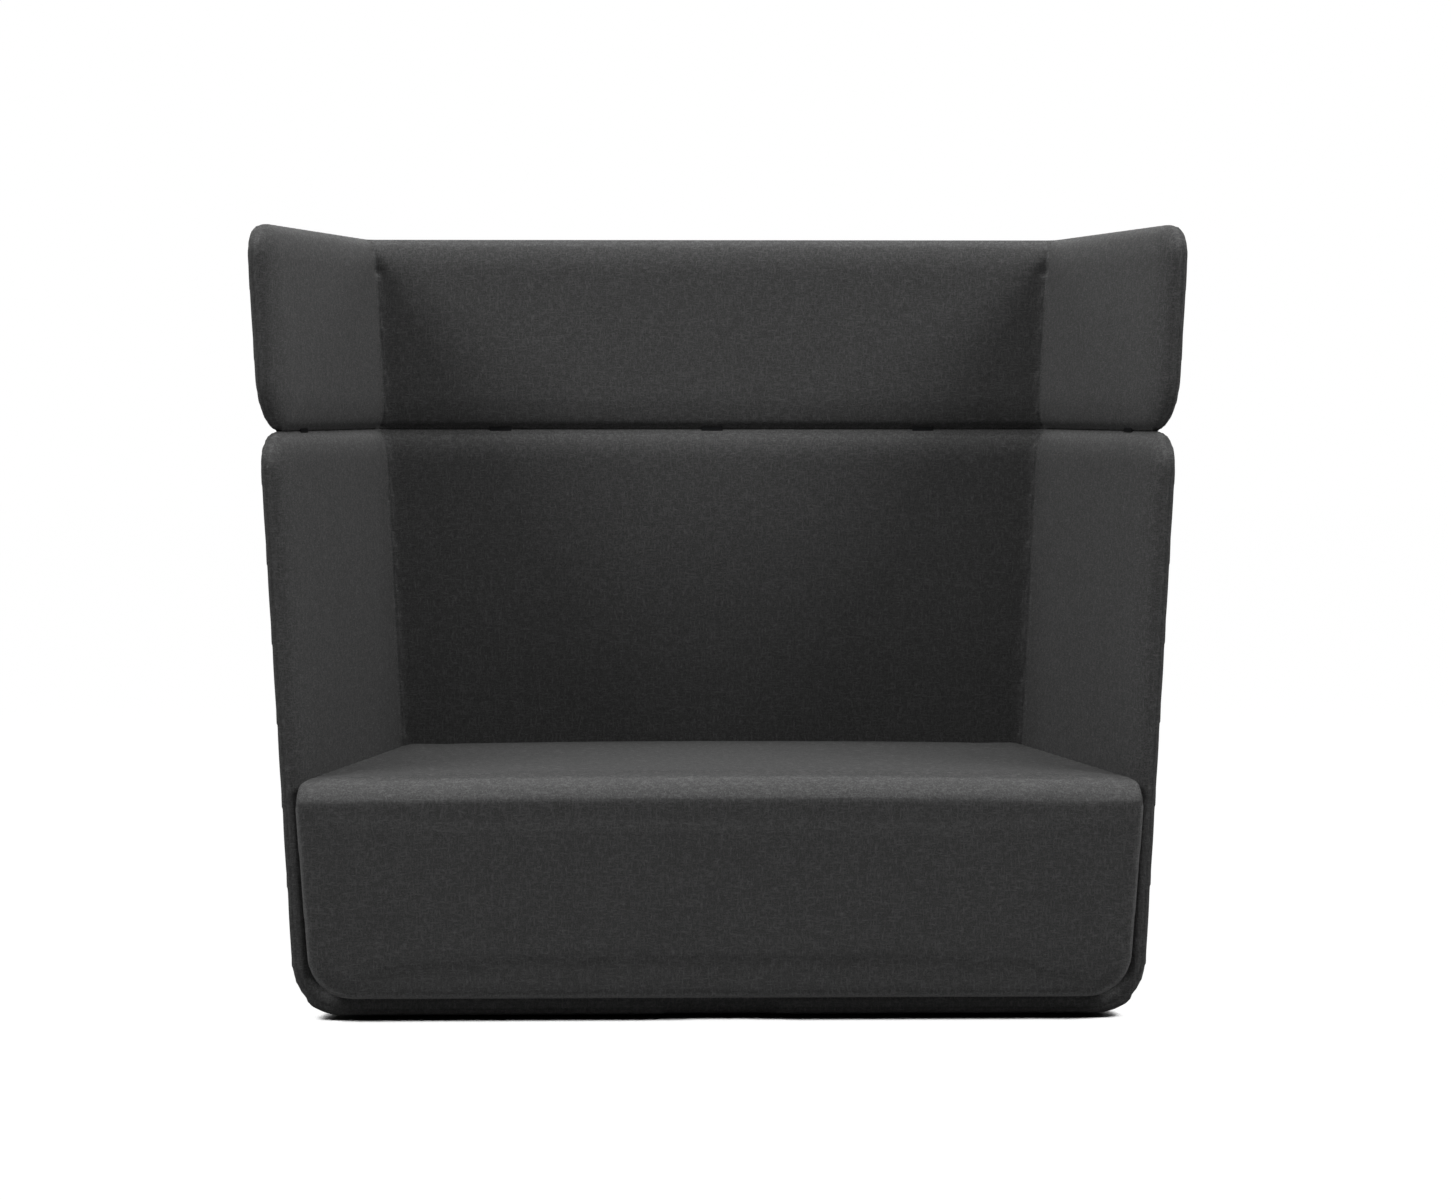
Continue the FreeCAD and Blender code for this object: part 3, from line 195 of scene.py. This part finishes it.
def copied_nodes(name, nodes, lowest=-1, highest=2):
    """One merged copy of several CAD nodes, cut off at two heights."""
    bpy.ops.object.select_all(action="DESELECT")
    copies = []
    for part in nodes:
        copy = bpy.data.objects.new(name, frame["nodes"][part].data.copy())
        bpy.context.scene.collection.objects.link(copy)
        copy.select_set(True)
        copies.append(copy)
    bpy.context.view_layer.objects.active = copies[0]
    if len(copies) > 1:
        bpy.ops.object.join()
    piece = bpy.context.view_layer.objects.active
    piece.data.materials.clear()
    points = points_of(piece)
    points[:, 2] = np.clip(points[:, 2], lowest, highest)
    set_points(piece, points)
    bpy.ops.object.mode_set(mode="EDIT")
    bpy.ops.mesh.select_all(action="SELECT")
    bpy.ops.mesh.remove_doubles(threshold=1e-5)
    bpy.ops.object.mode_set(mode="OBJECT")
    piece.name = name
    return piece


def seat_filler():
    """Fills the room of the seat frame, so that the seat is one closed block."""
    front_low, front_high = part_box("seat_front_rail")
    rear_low, rear_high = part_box("seat_rear_rail")
    bpy.ops.object.select_all(action="DESELECT")
    bpy.ops.mesh.primitive_cube_add(size=2)
    filler = bpy.context.active_object
    points = points_of(filler)
    is_rear = points[:, 1] > 0
    points[:, 0] *= np.where(is_rear, rear_high.x, front_high.x) + 0.002
    points[:, 1] = np.where(is_rear, rear_high.y + 0.002, front_low.y - 0.002)
    points[:, 2] = np.where(points[:, 2] > 0, front_high.z + 0.003, front_low.z)
    set_points(filler, points)
    return filler


def evenly_meshed(piece, voxel, form):
    """Remesh in even faces, then lay them on a form that they are close to."""
    remesh = piece.modifiers.new("even", "REMESH")
    remesh.mode = "VOXEL"
    remesh.voxel_size = voxel
    apply_modifier(piece, "even")
    even = points_of(piece)
    wrap = piece.modifiers.new("lay", "SHRINKWRAP")
    wrap.target = form
    wrap.wrap_method = "NEAREST_SURFACEPOINT"
    apply_modifier(piece, "lay")
    laid = points_of(piece)
    close = np.linalg.norm(laid - even, axis=1) < LAYING_LIMIT
    set_points(piece, np.where(close[:, None], laid, even))
    bpy.data.objects.remove(form)


def stuffed(piece, pressure, most):
    """Blow the cover up as stuffed cloth, no point moving in, or further out than a limit."""
    start = points_of(piece)
    outward = normals_of(piece)
    cloth = piece.modifiers.new("stuffing", "CLOTH")
    cloth.settings.quality = 3
    cloth.settings.use_pressure = True
    cloth.settings.uniform_pressure_force = pressure
    cloth.settings.effector_weights.gravity = 0
    cloth.settings.tension_stiffness = 15
    cloth.settings.compression_stiffness = 15
    cloth.point_cache.frame_end = STUFFING_FRAMES
    scene = bpy.context.scene
    for number in range(1, STUFFING_FRAMES + 1):
        scene.frame_set(number)
    blown = piece.evaluated_get(bpy.context.evaluated_depsgraph_get())
    swell = np.sum((points_of(blown) - start) * outward, axis=1)
    piece.modifiers.remove(cloth)
    scene.frame_set(1)
    set_points(piece, start + outward * np.clip(swell, 0, most)[:, None])


def eased(piece, factor, rounds):
    """Even out small bumps."""
    smooth = piece.modifiers.new("ease", "SMOOTH")
    smooth.factor = factor
    smooth.iterations = rounds
    apply_modifier(piece, "ease")


def refined(piece, near, cuts):
    """Divide the edges whose two ends are both near a seam."""
    pick(piece)
    bpy.ops.object.mode_set(mode="EDIT")
    bpy.ops.mesh.select_mode(type="EDGE")
    bpy.ops.mesh.select_all(action="DESELECT")
    bpy.ops.object.mode_set(mode="OBJECT")
    ends = np.empty(len(piece.data.edges) * 2, dtype=np.int32)
    piece.data.edges.foreach_get("vertices", ends)
    ends = ends.reshape(-1, 2)
    piece.data.edges.foreach_set("select", near[ends].all(axis=1))
    bpy.ops.object.mode_set(mode="EDIT")
    bpy.ops.mesh.subdivide(number_cuts=cuts, smoothness=0)
    bpy.ops.object.mode_set(mode="OBJECT")


def sewn(piece, lines_of, depth, width, shade, roll_highlight):
    """Draw the cover in along its seams, or out along the seat's edge ridge, and keep a painted tone for
    each point.

    The tone is painted shade along seams given a positive shade, a painted highlight along the seat's ridge,
    and a painted highlight where the cloth turns upward over a roll.
    """
    lines = lines_of(points_of(piece))
    refined(piece, lines < FINE_MESH_REACH, FINE_MESH_CUTS)
    points = points_of(piece)
    near = hill(lines_of(points), width)
    set_points(piece, points - normals_of(piece) * (near * depth)[:, None])
    # The seam value is a painted tone: above zero painted shade, below zero painted highlight
    seam = piece.data.attributes.new("seam", "FLOAT", "POINT")
    upward = normals_of(piece)[:, 2]
    rolled = smooth_step(0.12, 0.45, upward) * (1 - smooth_step(0.93, 0.99, upward))
    seam.data.foreach_set("value", near * shade - rolled * roll_highlight)


def softened(piece, rim_of, fall, reach):
    """Let the inner padding fall away towards the edges of the panels."""
    points = points_of(piece)
    side = side_depth(points)
    back = back_depth(points)
    inner = smooth_step(0.020, 0.038, np.minimum(side, back))
    edge = 1 - np.clip(rim_of(points) / reach, 0, 1)
    push = inner * edge ** 2 * fall
    points[:, 0] += np.sign(points[:, 0]) * push * smooth_step(-0.01, 0, back - side)
    points[:, 1] += push * smooth_step(-0.01, 0, side - back)
    set_points(piece, points)


def trued(piece, outer_of, rim_of):
    """Lay the outer cover on its exact form, away from the rolled edges."""
    points = points_of(piece)
    depth = outer_of(points)
    share = (depth < TRUED_LIMIT) * smooth_step(0.014, 0.022, rim_of(points))
    set_points(piece, points + normals_of(piece) * (depth * share)[:, None])


def beside_groove(p):
    """How much of a point belongs to the open inner half of the groove."""
    inner = smooth_step(0.020, 0.026, collar_outer_depth(p))
    return inner * (1 - smooth_step(0, 0.014, np.abs(p[:, 2] - GROOVE_HEIGHT)))


def in_contact(p):
    """Points of the band where collar and shell rest on each other."""
    depth = collar_outer_depth(p)
    level = np.abs(p[:, 2] - GROOVE_HEIGHT) < 0.005
    return level & (depth > 0.011) & (depth < 0.021) & (front_depth(p) > 0.075)


def dented(piece, spots, depth, radius):
    """Pull the cover in at a few places."""
    points = points_of(piece)
    pull = np.zeros(len(points))
    for spot in spots:
        pull += hill(np.linalg.norm(points - np.array(spot), axis=1), radius)
    set_points(piece, points - normals_of(piece) * (pull * depth)[:, None])


def grown(piece, amount):
    set_points(piece, points_of(piece) + normals_of(piece) * amount)


def shaded_smooth(piece):
    piece.data.polygons.foreach_set("use_smooth", np.ones(len(piece.data.polygons), dtype=bool))
    piece.data.update()


# Seams: how far each point is from the nearest one

def shell_outer_depth(p):
    return rounded_least(collar_outer_depth(p), p[:, 2] - FLOOR_CLEARANCE, BASE_RADIUS)


def collar_outer_depth(p):
    return rounded_least(side_depth(p), back_depth(p), REAR_RADIUS)


def shell_rim(p):
    return rounded_least(front_depth(p), GROOVE_HEIGHT - p[:, 2], SHELL_TOP_RADIUS)


def collar_rim(p):
    upper = rounded_least(front_depth(p), HEIGHT - p[:, 2], COLLAR_TOP_RADIUS)
    return rounded_least(upper, p[:, 2] - GROOVE_HEIGHT, COLLAR_FOOT_RADIUS)


def edge_seam(outer, rim):
    return np.abs(outer - SEAM_DEPTH) + np.maximum(rim - 0.006, 0)


def corner_seam(p):
    """The seam down each inner corner."""
    off_wall = np.maximum(np.maximum(side_depth(p), back_depth(p)) - WALL - 0.012, 0)
    outside = np.maximum(WALL - 0.012 - np.minimum(side_depth(p), back_depth(p)), 0)
    return np.abs(mitre(p)) * 0.75 + off_wall + outside


def shell_seams(p):
    return np.minimum(edge_seam(shell_outer_depth(p), shell_rim(p)), corner_seam(p))


def collar_seams(p):
    return np.minimum(edge_seam(collar_outer_depth(p), collar_rim(p)), corner_seam(p))


def seat_edge(p):
    """The line down the seat's front and along its foot, raised a little and painted lighter as a highlight.
    """
    outline = rounded_least(side_depth(p) - SEAT_INSET, p[:, 2] - SEAT_FOOT, SEAT_FOOT_RADIUS)
    behind = np.maximum(p[:, 1] - SEAT_FRONT - 0.014, 0)
    above = np.maximum(p[:, 2] - 0.37, 0)
    return np.abs(outline - 0.004) + behind + above


# Upholstery

def opened_below(p):
    """Points over the opening under the base, which the dust cover closes."""
    across = side_depth(p) * SIDE_UNIT > 0.108
    along = (p[:, 1] > FRONT_FOOT + 0.045) & (back_depth(p) * BACK_UNIT > 0.070)
    return across & along & (p[:, 2] < 0.022)


def lower_shell():
    """The lower shell's covers over its pads, open below for the dust cover."""
    piece = copied_nodes("lower_shell", SHELL_PADS + SHELL_BOARDS + STRAPS, highest=GROOVE_HEIGHT - PAD_SKIN)
    evenly_meshed(piece, SHELL_VOXEL, copied_nodes("form", SHELL_COVERS))
    eased(piece, 0.5, 2)
    grown(piece, COVER_STEP)
    trued(piece, shell_outer_depth, shell_rim)
    softened(piece, shell_rim, EDGE_FALL, SHELL_EDGE_REACH)
    # Painted shade along the seams, and a painted highlight where the cover turns upward over a roll
    sewn(piece, shell_seams, SEAM_DRAW, SEAM_WIDTH, SEAM_SHADE, SHELL_ROLL_HIGHLIGHT)
    points = points_of(piece)
    points[:, 2] = np.minimum(points[:, 2], GROOVE_HEIGHT) - SHELL_OPENING * beside_groove(points)
    points[in_contact(points), 2] = GROOVE_HEIGHT
    points[opened_below(points), 2] = DUST_COVER_TOP
    set_points(piece, points)
    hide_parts(*SHELL_COVERS, *SHELL_PADS)
    return piece


def wrap_collar():
    """The collar's covers over its pads, gathered at the inner corners."""
    piece = copied_nodes("collar", COLLAR_PADS + COLLAR_BOARDS + STRAPS, lowest=GROOVE_HEIGHT + PAD_SKIN)
    evenly_meshed(piece, COLLAR_VOXEL, copied_nodes("form", COLLAR_COVERS))
    eased(piece, 0.5, 2)
    grown(piece, COVER_STEP)
    trued(piece, collar_outer_depth, collar_rim)
    softened(piece, collar_rim, EDGE_FALL, COLLAR_EDGE_REACH)
    dented(piece, pucker_spots(), PUCKER_DEPTH, PUCKER_RADIUS)
    # Painted shade along the seams, and a painted highlight where the cover turns upward over a roll
    sewn(piece, collar_seams, SEAM_DRAW, SEAM_WIDTH, SEAM_SHADE, COLLAR_ROLL_HIGHLIGHT)
    points = points_of(piece)
    points[:, 2] = np.maximum(points[:, 2], GROOVE_HEIGHT) + COLLAR_OPENING * beside_groove(points)
    points[in_contact(points), 2] = GROOVE_HEIGHT
    set_points(piece, points)
    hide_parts(*COLLAR_COVERS, *COLLAR_PADS)
    return piece


def pucker_spots():
    """Where the cover gathers at the top of the two inner corners of the collar."""
    height = HEIGHT - PUCKER_DROP
    back = BACK_TOP - (HEIGHT - height) * LEAN - WALL * BACK_UNIT
    half = BASE_HALF + height * FLARE - (back - FRONT_FOOT) * SPLAY - WALL * SIDE_UNIT
    return [(-half, back, height), (half, back, height)]


def seat_block():
    """The seat's cover, blown up as stuffed cloth and sat down along its front."""
    piece = copied_nodes("seat", ["seat_foam"])
    filler = seat_filler()
    pick(piece)
    filler.select_set(True)
    bpy.ops.object.join()
    form = bpy.data.objects.new("form", piece.data.copy())
    bpy.context.scene.collection.objects.link(form)
    evenly_meshed(piece, SEAT_VOXEL, form)
    grown(piece, COVER)
    stuffed(piece, STUFFING_PRESSURE, STUFFING_SWELL)
    eased(piece, 0.5, 3)
    points = points_of(piece)
    front = np.clip((points[:, 1] - SEAT_FRONT) / SEAT_ROLL_LENGTH, 0, 1)
    upper = smooth_step(0.37, 0.42, points[:, 2])
    points[:, 2] -= SEAT_ROLL_DROP * (1 - front) ** 2 * upper
    set_points(piece, points)
    # Raise a slight ridge along the seat's front edge, with a painted highlight on it and on the front roll
    sewn(piece, seat_edge, -SEAT_EDGE_RISE, SEAT_EDGE_WIDTH, SEAT_EDGE_HIGHLIGHT, SEAT_ROLL_HIGHLIGHT)
    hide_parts("seat_cover", "seat_foam")
    return piece


# Finishes

def node(tree, kind, **values):
    made = tree.nodes.new(kind)
    for key, value in values.items():
        setattr(made, key, value)
    return made


def new_group(name, outputs):
    """A node group with a scaled place to draw on and named number outputs."""
    group = bpy.data.node_groups.new(name, "ShaderNodeTree")
    group.interface.new_socket("Place", in_out="INPUT", socket_type="NodeSocketVector")
    group.interface.new_socket("Scale", in_out="INPUT", socket_type="NodeSocketFloat")
    for label in outputs:
        group.interface.new_socket(label, in_out="OUTPUT", socket_type="NodeSocketFloat")
    enter = group.nodes.new("NodeGroupInput")
    leave = group.nodes.new("NodeGroupOutput")
    scaled = node(group, "ShaderNodeVectorMath", operation="SCALE")
    group.links.new(enter.outputs["Place"], scaled.inputs[0])
    group.links.new(enter.outputs["Scale"], scaled.inputs["Scale"])
    return group, scaled.outputs[0], leave


def ramp(tree, low, low_value, high, high_value):
    made = tree.nodes.new("ShaderNodeMapRange")
    made.inputs["From Min"].default_value = low
    made.inputs["From Max"].default_value = high
    made.inputs["To Min"].default_value = low_value
    made.inputs["To Max"].default_value = high_value
    return made


def noise(tree, scale, detail, roughness=0.5):
    made = tree.nodes.new("ShaderNodeTexNoise")
    made.inputs["Scale"].default_value = scale
    made.inputs["Detail"].default_value = detail
    made.inputs["Roughness"].default_value = roughness
    return made


def stretched(tree, source, scale):
    made = tree.nodes.new("ShaderNodeMapping")
    made.inputs["Scale"].default_value = scale
    tree.links.new(source, made.inputs["Vector"])
    return made.outputs["Vector"]


def maths(tree, operation, first, second):
    made = node(tree, "ShaderNodeMath", operation=operation)
    for socket, value in zip(made.inputs, (first, second)):
        if isinstance(value, (int, float)):
            socket.default_value = value
        else:
            tree.links.new(value, socket)
    return made.outputs[0]


def felt_weave():
    """Melange specks and short slubs of felted wool, both ways of the cloth."""
    group, place, leave = new_group("felt_weave", ("Tone", "Nap"))
    speck = noise(group, 420, 3, 0.7)
    group.links.new(place, speck.inputs["Vector"])
    across = noise(group, 1, 2, 0.6)
    group.links.new(stretched(group, place, (90, 90, 360)), across.inputs["Vector"])
    upright = noise(group, 1, 2, 0.6)
    group.links.new(stretched(group, place, (320, 320, 85)), upright.inputs["Vector"])
    cloud = noise(group, 14, 3, 0.55)
    group.links.new(place, cloud.inputs["Vector"])
    slub = maths(group, "MAXIMUM", across.outputs["Fac"], upright.outputs["Fac"])
    specks = ramp(group, 0.3, -0.28, 0.7, 0.28)
    group.links.new(speck.outputs["Fac"], specks.inputs["Value"])
    slubs = ramp(group, 0.5, -0.10, 0.78, 0.55)
    group.links.new(slub, slubs.inputs["Value"])
    clouds = ramp(group, 0.3, -0.02, 0.7, 0.02)
    group.links.new(cloud.outputs["Fac"], clouds.inputs["Value"])
    both = maths(group, "ADD", specks.outputs[0], slubs.outputs[0])
    tone = maths(group, "ADD", maths(group, "ADD", both, clouds.outputs[0]), 1.0)
    group.links.new(tone, leave.inputs["Tone"])
    group.links.new(maths(group, "ADD", speck.outputs["Fac"], slub), leave.inputs["Nap"])
    return group


def wood_grain():
    """Long grain with rings and pores."""
    group, place, leave = new_group("wood_grain", ("Figure", "Pores"))
    rings = noise(group, 1, 4, 0.6)
    group.links.new(stretched(group, place, (3, 30, 30)), rings.inputs["Vector"])
    pores = noise(group, 1, 2, 0.7)
    group.links.new(stretched(group, place, (25, 500, 500)), pores.inputs["Vector"])
    group.links.new(rings.outputs["Fac"], leave.inputs["Figure"])
    group.links.new(pores.outputs["Fac"], leave.inputs["Pores"])
    return group


def mottle():
    """Uneven fine surface for cloth, plating and moulded plastic."""
    group, place, leave = new_group("mottle", ("Tone", "Bumps"))
    broad = noise(group, 20, 4, 0.6)
    group.links.new(place, broad.inputs["Vector"])
    fine = noise(group, 400, 3, 0.6)
    group.links.new(place, fine.inputs["Vector"])
    group.links.new(broad.outputs["Fac"], leave.inputs["Tone"])
    group.links.new(fine.outputs["Fac"], leave.inputs["Bumps"])
    return group


FELT_WEAVE = felt_weave()
WOOD_GRAIN = wood_grain()
MOTTLE = mottle()


def new_finish(name, group, scale):
    """A material with its shader, and a pattern group on Object coordinates."""
    material = bpy.data.materials.new(name)
    material.use_nodes = True
    tree = material.node_tree
    shader = tree.nodes["Principled BSDF"]
    place = tree.nodes.new("ShaderNodeTexCoord")
    pattern = node(tree, "ShaderNodeGroup", node_tree=group)
    pattern.inputs["Scale"].default_value = scale
    tree.links.new(place.outputs["Object"], pattern.inputs["Place"])
    return material, tree, shader, pattern


def tinted(tree, shader, factor, dark, light):
    """Colour a shader between two tones."""
    mix = node(tree, "ShaderNodeMix", data_type="RGBA")
    mix.inputs["A"].default_value = (*dark, 1)
    mix.inputs["B"].default_value = (*light, 1)
    tree.links.new(factor, mix.inputs["Factor"])
    tree.links.new(mix.outputs["Result"], shader.inputs["Base Color"])


def bumped(tree, shader, height, strength, distance):
    bump = tree.nodes.new("ShaderNodeBump")
    bump.inputs["Strength"].default_value = strength
    bump.inputs["Distance"].default_value = distance
    tree.links.new(height, bump.inputs["Height"])
    tree.links.new(bump.outputs["Normal"], shader.inputs["Normal"])


def charcoal_felt():
    material, tree, shader, weave = new_finish("charcoal_felt", FELT_WEAVE, 1.0)
    # The seam attribute is a painted tone: -1 is a painted highlight, lighter, and +1 painted shade, darker
    seam = node(tree, "ShaderNodeAttribute", attribute_name="seam")
    shade = ramp(tree, -1.0, 1.7, 1.0, 0.3)
    tree.links.new(seam.outputs["Fac"], shade.inputs["Value"])
    tone = maths(tree, "MULTIPLY", weave.outputs["Tone"], shade.outputs[0])
    spread = ramp(tree, 0.0, 0.0, 2.0, 1.0)
    tree.links.new(tone, spread.inputs["Value"])
    tinted(tree, shader, spread.outputs[0], (0.0, 0.0, 0.0), (0.150, 0.150, 0.150))
    bumped(tree, shader, weave.outputs["Nap"], 0.35, 0.0006)
    shader.inputs["Roughness"].default_value = 0.95
    shader.inputs["Specular IOR Level"].default_value = 0.06
    return material


def timber(name, dark, light, scale):
    material, tree, shader, grain = new_finish(name, WOOD_GRAIN, scale)
    tinted(tree, shader, grain.outputs["Figure"], dark, light)
    bumped(tree, shader, grain.outputs["Pores"], 0.25, 0.0005)
    shader.inputs["Roughness"].default_value = 0.62
    return material


def mottled(name, dark, light, scale, roughness, metallic=0.0, bump=0.2):
    material, tree, shader, surface = new_finish(name, MOTTLE, scale)
    tinted(tree, shader, surface.outputs["Tone"], dark, light)
    bumped(tree, shader, surface.outputs["Bumps"], bump, 0.0005)
    rough = ramp(tree, 0.3, roughness - 0.06, 0.7, roughness + 0.06)
    tree.links.new(surface.outputs["Tone"], rough.inputs["Value"])
    tree.links.new(rough.outputs[0], shader.inputs["Roughness"])
    shader.inputs["Metallic"].default_value = metallic
    return material


def finishes():
    return {
        "charcoal_felt": charcoal_felt(),
        "foam": mottled("foam", (0.62, 0.57, 0.40), (0.78, 0.74, 0.56), 2.0, 0.9, bump=0.6),
        "plywood": timber("birch_plywood", (0.50, 0.34, 0.19), (0.72, 0.55, 0.36), 1.0),
        "beech": timber("beech", (0.48, 0.28, 0.15), (0.68, 0.45, 0.28), 1.4),
        "webbing": mottled("elastic_webbing", (0.20, 0.18, 0.15), (0.36, 0.33, 0.28), 3.0, 0.85, bump=0.5),
        "dust_cloth": mottled("black_dust_cloth", (0.012, 0.012, 0.013), (0.030, 0.030, 0.032), 2.0, 0.92,
                              bump=0.5),
        "zinc_steel": mottled("black_zinc_steel", (0.030, 0.031, 0.033), (0.055, 0.056, 0.058), 3.0, 0.5,
                              metallic=1.0),
        "black_nylon": mottled("black_nylon", (0.016, 0.016, 0.017), (0.028, 0.028, 0.030), 3.0, 0.5),
    }


def dress_nodes(finish):
    """Give each CAD node that stays the finish of its slot."""
    for entry in frame["record"]["subparts"]:
        carried = frame["nodes"][entry["node"]]
        carried.data.materials.clear()
        carried.data.materials.append(finish[entry["material_slot"]])


# Studio

def studio_floor():
    """A floor that the camera sees as white, but for the gap under the sofa."""
    bpy.ops.object.select_all(action="DESELECT")
    bpy.ops.mesh.primitive_plane_add(size=60, location=(0, 0, 0))
    floor = bpy.context.active_object
    floor.name = "studio_floor"
    material = bpy.data.materials.new("pale_floor")
    material.use_nodes = True
    tree = material.node_tree
    shader = tree.nodes["Principled BSDF"]
    shader.inputs["Base Color"].default_value = (0.40, 0.40, 0.40, 1)
    shader.inputs["Roughness"].default_value = 0.9
    shader.inputs["Specular IOR Level"].default_value = 0.0
    glow = tree.nodes.new("ShaderNodeEmission")
    glow.inputs["Color"].default_value = (1, 1, 1, 1)
    glow.inputs["Strength"].default_value = 1.04
    path = tree.nodes.new("ShaderNodeLightPath")
    shelter = tree.nodes.new("ShaderNodeAmbientOcclusion")
    shelter.inputs["Distance"].default_value = 0.05
    uncovered = maths(tree, "GREATER_THAN", shelter.outputs["AO"], 0.4)
    share = maths(tree, "MULTIPLY", path.outputs["Is Camera Ray"], 0.96)
    share = maths(tree, "MULTIPLY", share, uncovered)
    mix = tree.nodes.new("ShaderNodeMixShader")
    tree.links.new(share, mix.inputs["Fac"])
    tree.links.new(shader.outputs["BSDF"], mix.inputs[1])
    tree.links.new(glow.outputs["Emission"], mix.inputs[2])
    tree.links.new(mix.outputs["Shader"], tree.nodes["Material Output"].inputs["Surface"])
    floor.data.materials.append(material)


def studio_world():
    """A dim surrounding that the camera sees as white."""
    world = bpy.data.worlds.new("studio")
    bpy.context.scene.world = world
    world.use_nodes = True
    tree = world.node_tree
    light = tree.nodes["Background"]
    light.inputs["Color"].default_value = (1, 1, 1, 1)
    light.inputs["Strength"].default_value = 0.02
    white = tree.nodes.new("ShaderNodeBackground")
    white.inputs["Color"].default_value = (1, 1, 1, 1)
    white.inputs["Strength"].default_value = 1.0
    path = tree.nodes.new("ShaderNodeLightPath")
    mix = tree.nodes.new("ShaderNodeMixShader")
    tree.links.new(path.outputs["Is Camera Ray"], mix.inputs["Fac"])
    tree.links.new(light.outputs["Background"], mix.inputs[1])
    tree.links.new(white.outputs["Background"], mix.inputs[2])
    tree.links.new(mix.outputs["Shader"], tree.nodes["World Output"].inputs["Surface"])


def soft_light(name, place, turn, size, power):
    lamp = bpy.data.lights.new(name, "AREA")
    lamp.shape = "RECTANGLE"
    lamp.size, lamp.size_y = size
    lamp.energy = power
    item = bpy.data.objects.new(name, lamp)
    item.location = place
    item.rotation_euler = [math.radians(angle) for angle in turn]
    bpy.context.scene.collection.objects.link(item)


def studio_camera():
    camera = bpy.data.cameras.new("camera")
    camera.sensor_width = 36
    camera.lens = 90.6
    camera.clip_end = 100
    item = bpy.data.objects.new("camera", camera)
    item.location = (-0.1355, -6.576, 1.056)
    item.rotation_euler = Euler((math.radians(90 - 3.086), 0, math.radians(-1.333)))
    bpy.context.scene.collection.objects.link(item)
    bpy.context.scene.camera = item


def dress_sofa():
    finish = finishes()
    dress_nodes(finish)
    for piece, fill in ((lower_shell(), 0.95), (wrap_collar(), 0.9), (seat_block(), 0.9)):
        shaded_smooth(piece)
        piece.data.materials.clear()
        piece.data.materials.append(finish["charcoal_felt"])
        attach(piece, "sofa")


bpy.context.scene.view_settings.view_transform = "Standard"
studio_camera()
studio_floor()
studio_world()
soft_light("left_light", (-3.2, -1.6, 3.6), (0, -45, 0), (1.6, 2.0), 98)
soft_light("right_light", (3.2, -1.6, 3.6), (0, 45, 0), (1.6, 2.0), 98)
soft_light("rear_top_light", (0, 0.6, 4.0), (0, 0, 0), (3.0, 1.0), 84)
soft_light("overhead_light", (0, -1.0, 4.5), (0, 0, 0), (7.0, 5.0), 34)
soft_light("back_light", (0, 4.5, 3.2), (-62, 0, 0), (3.5, 2.0), 150)
dress_sofa()
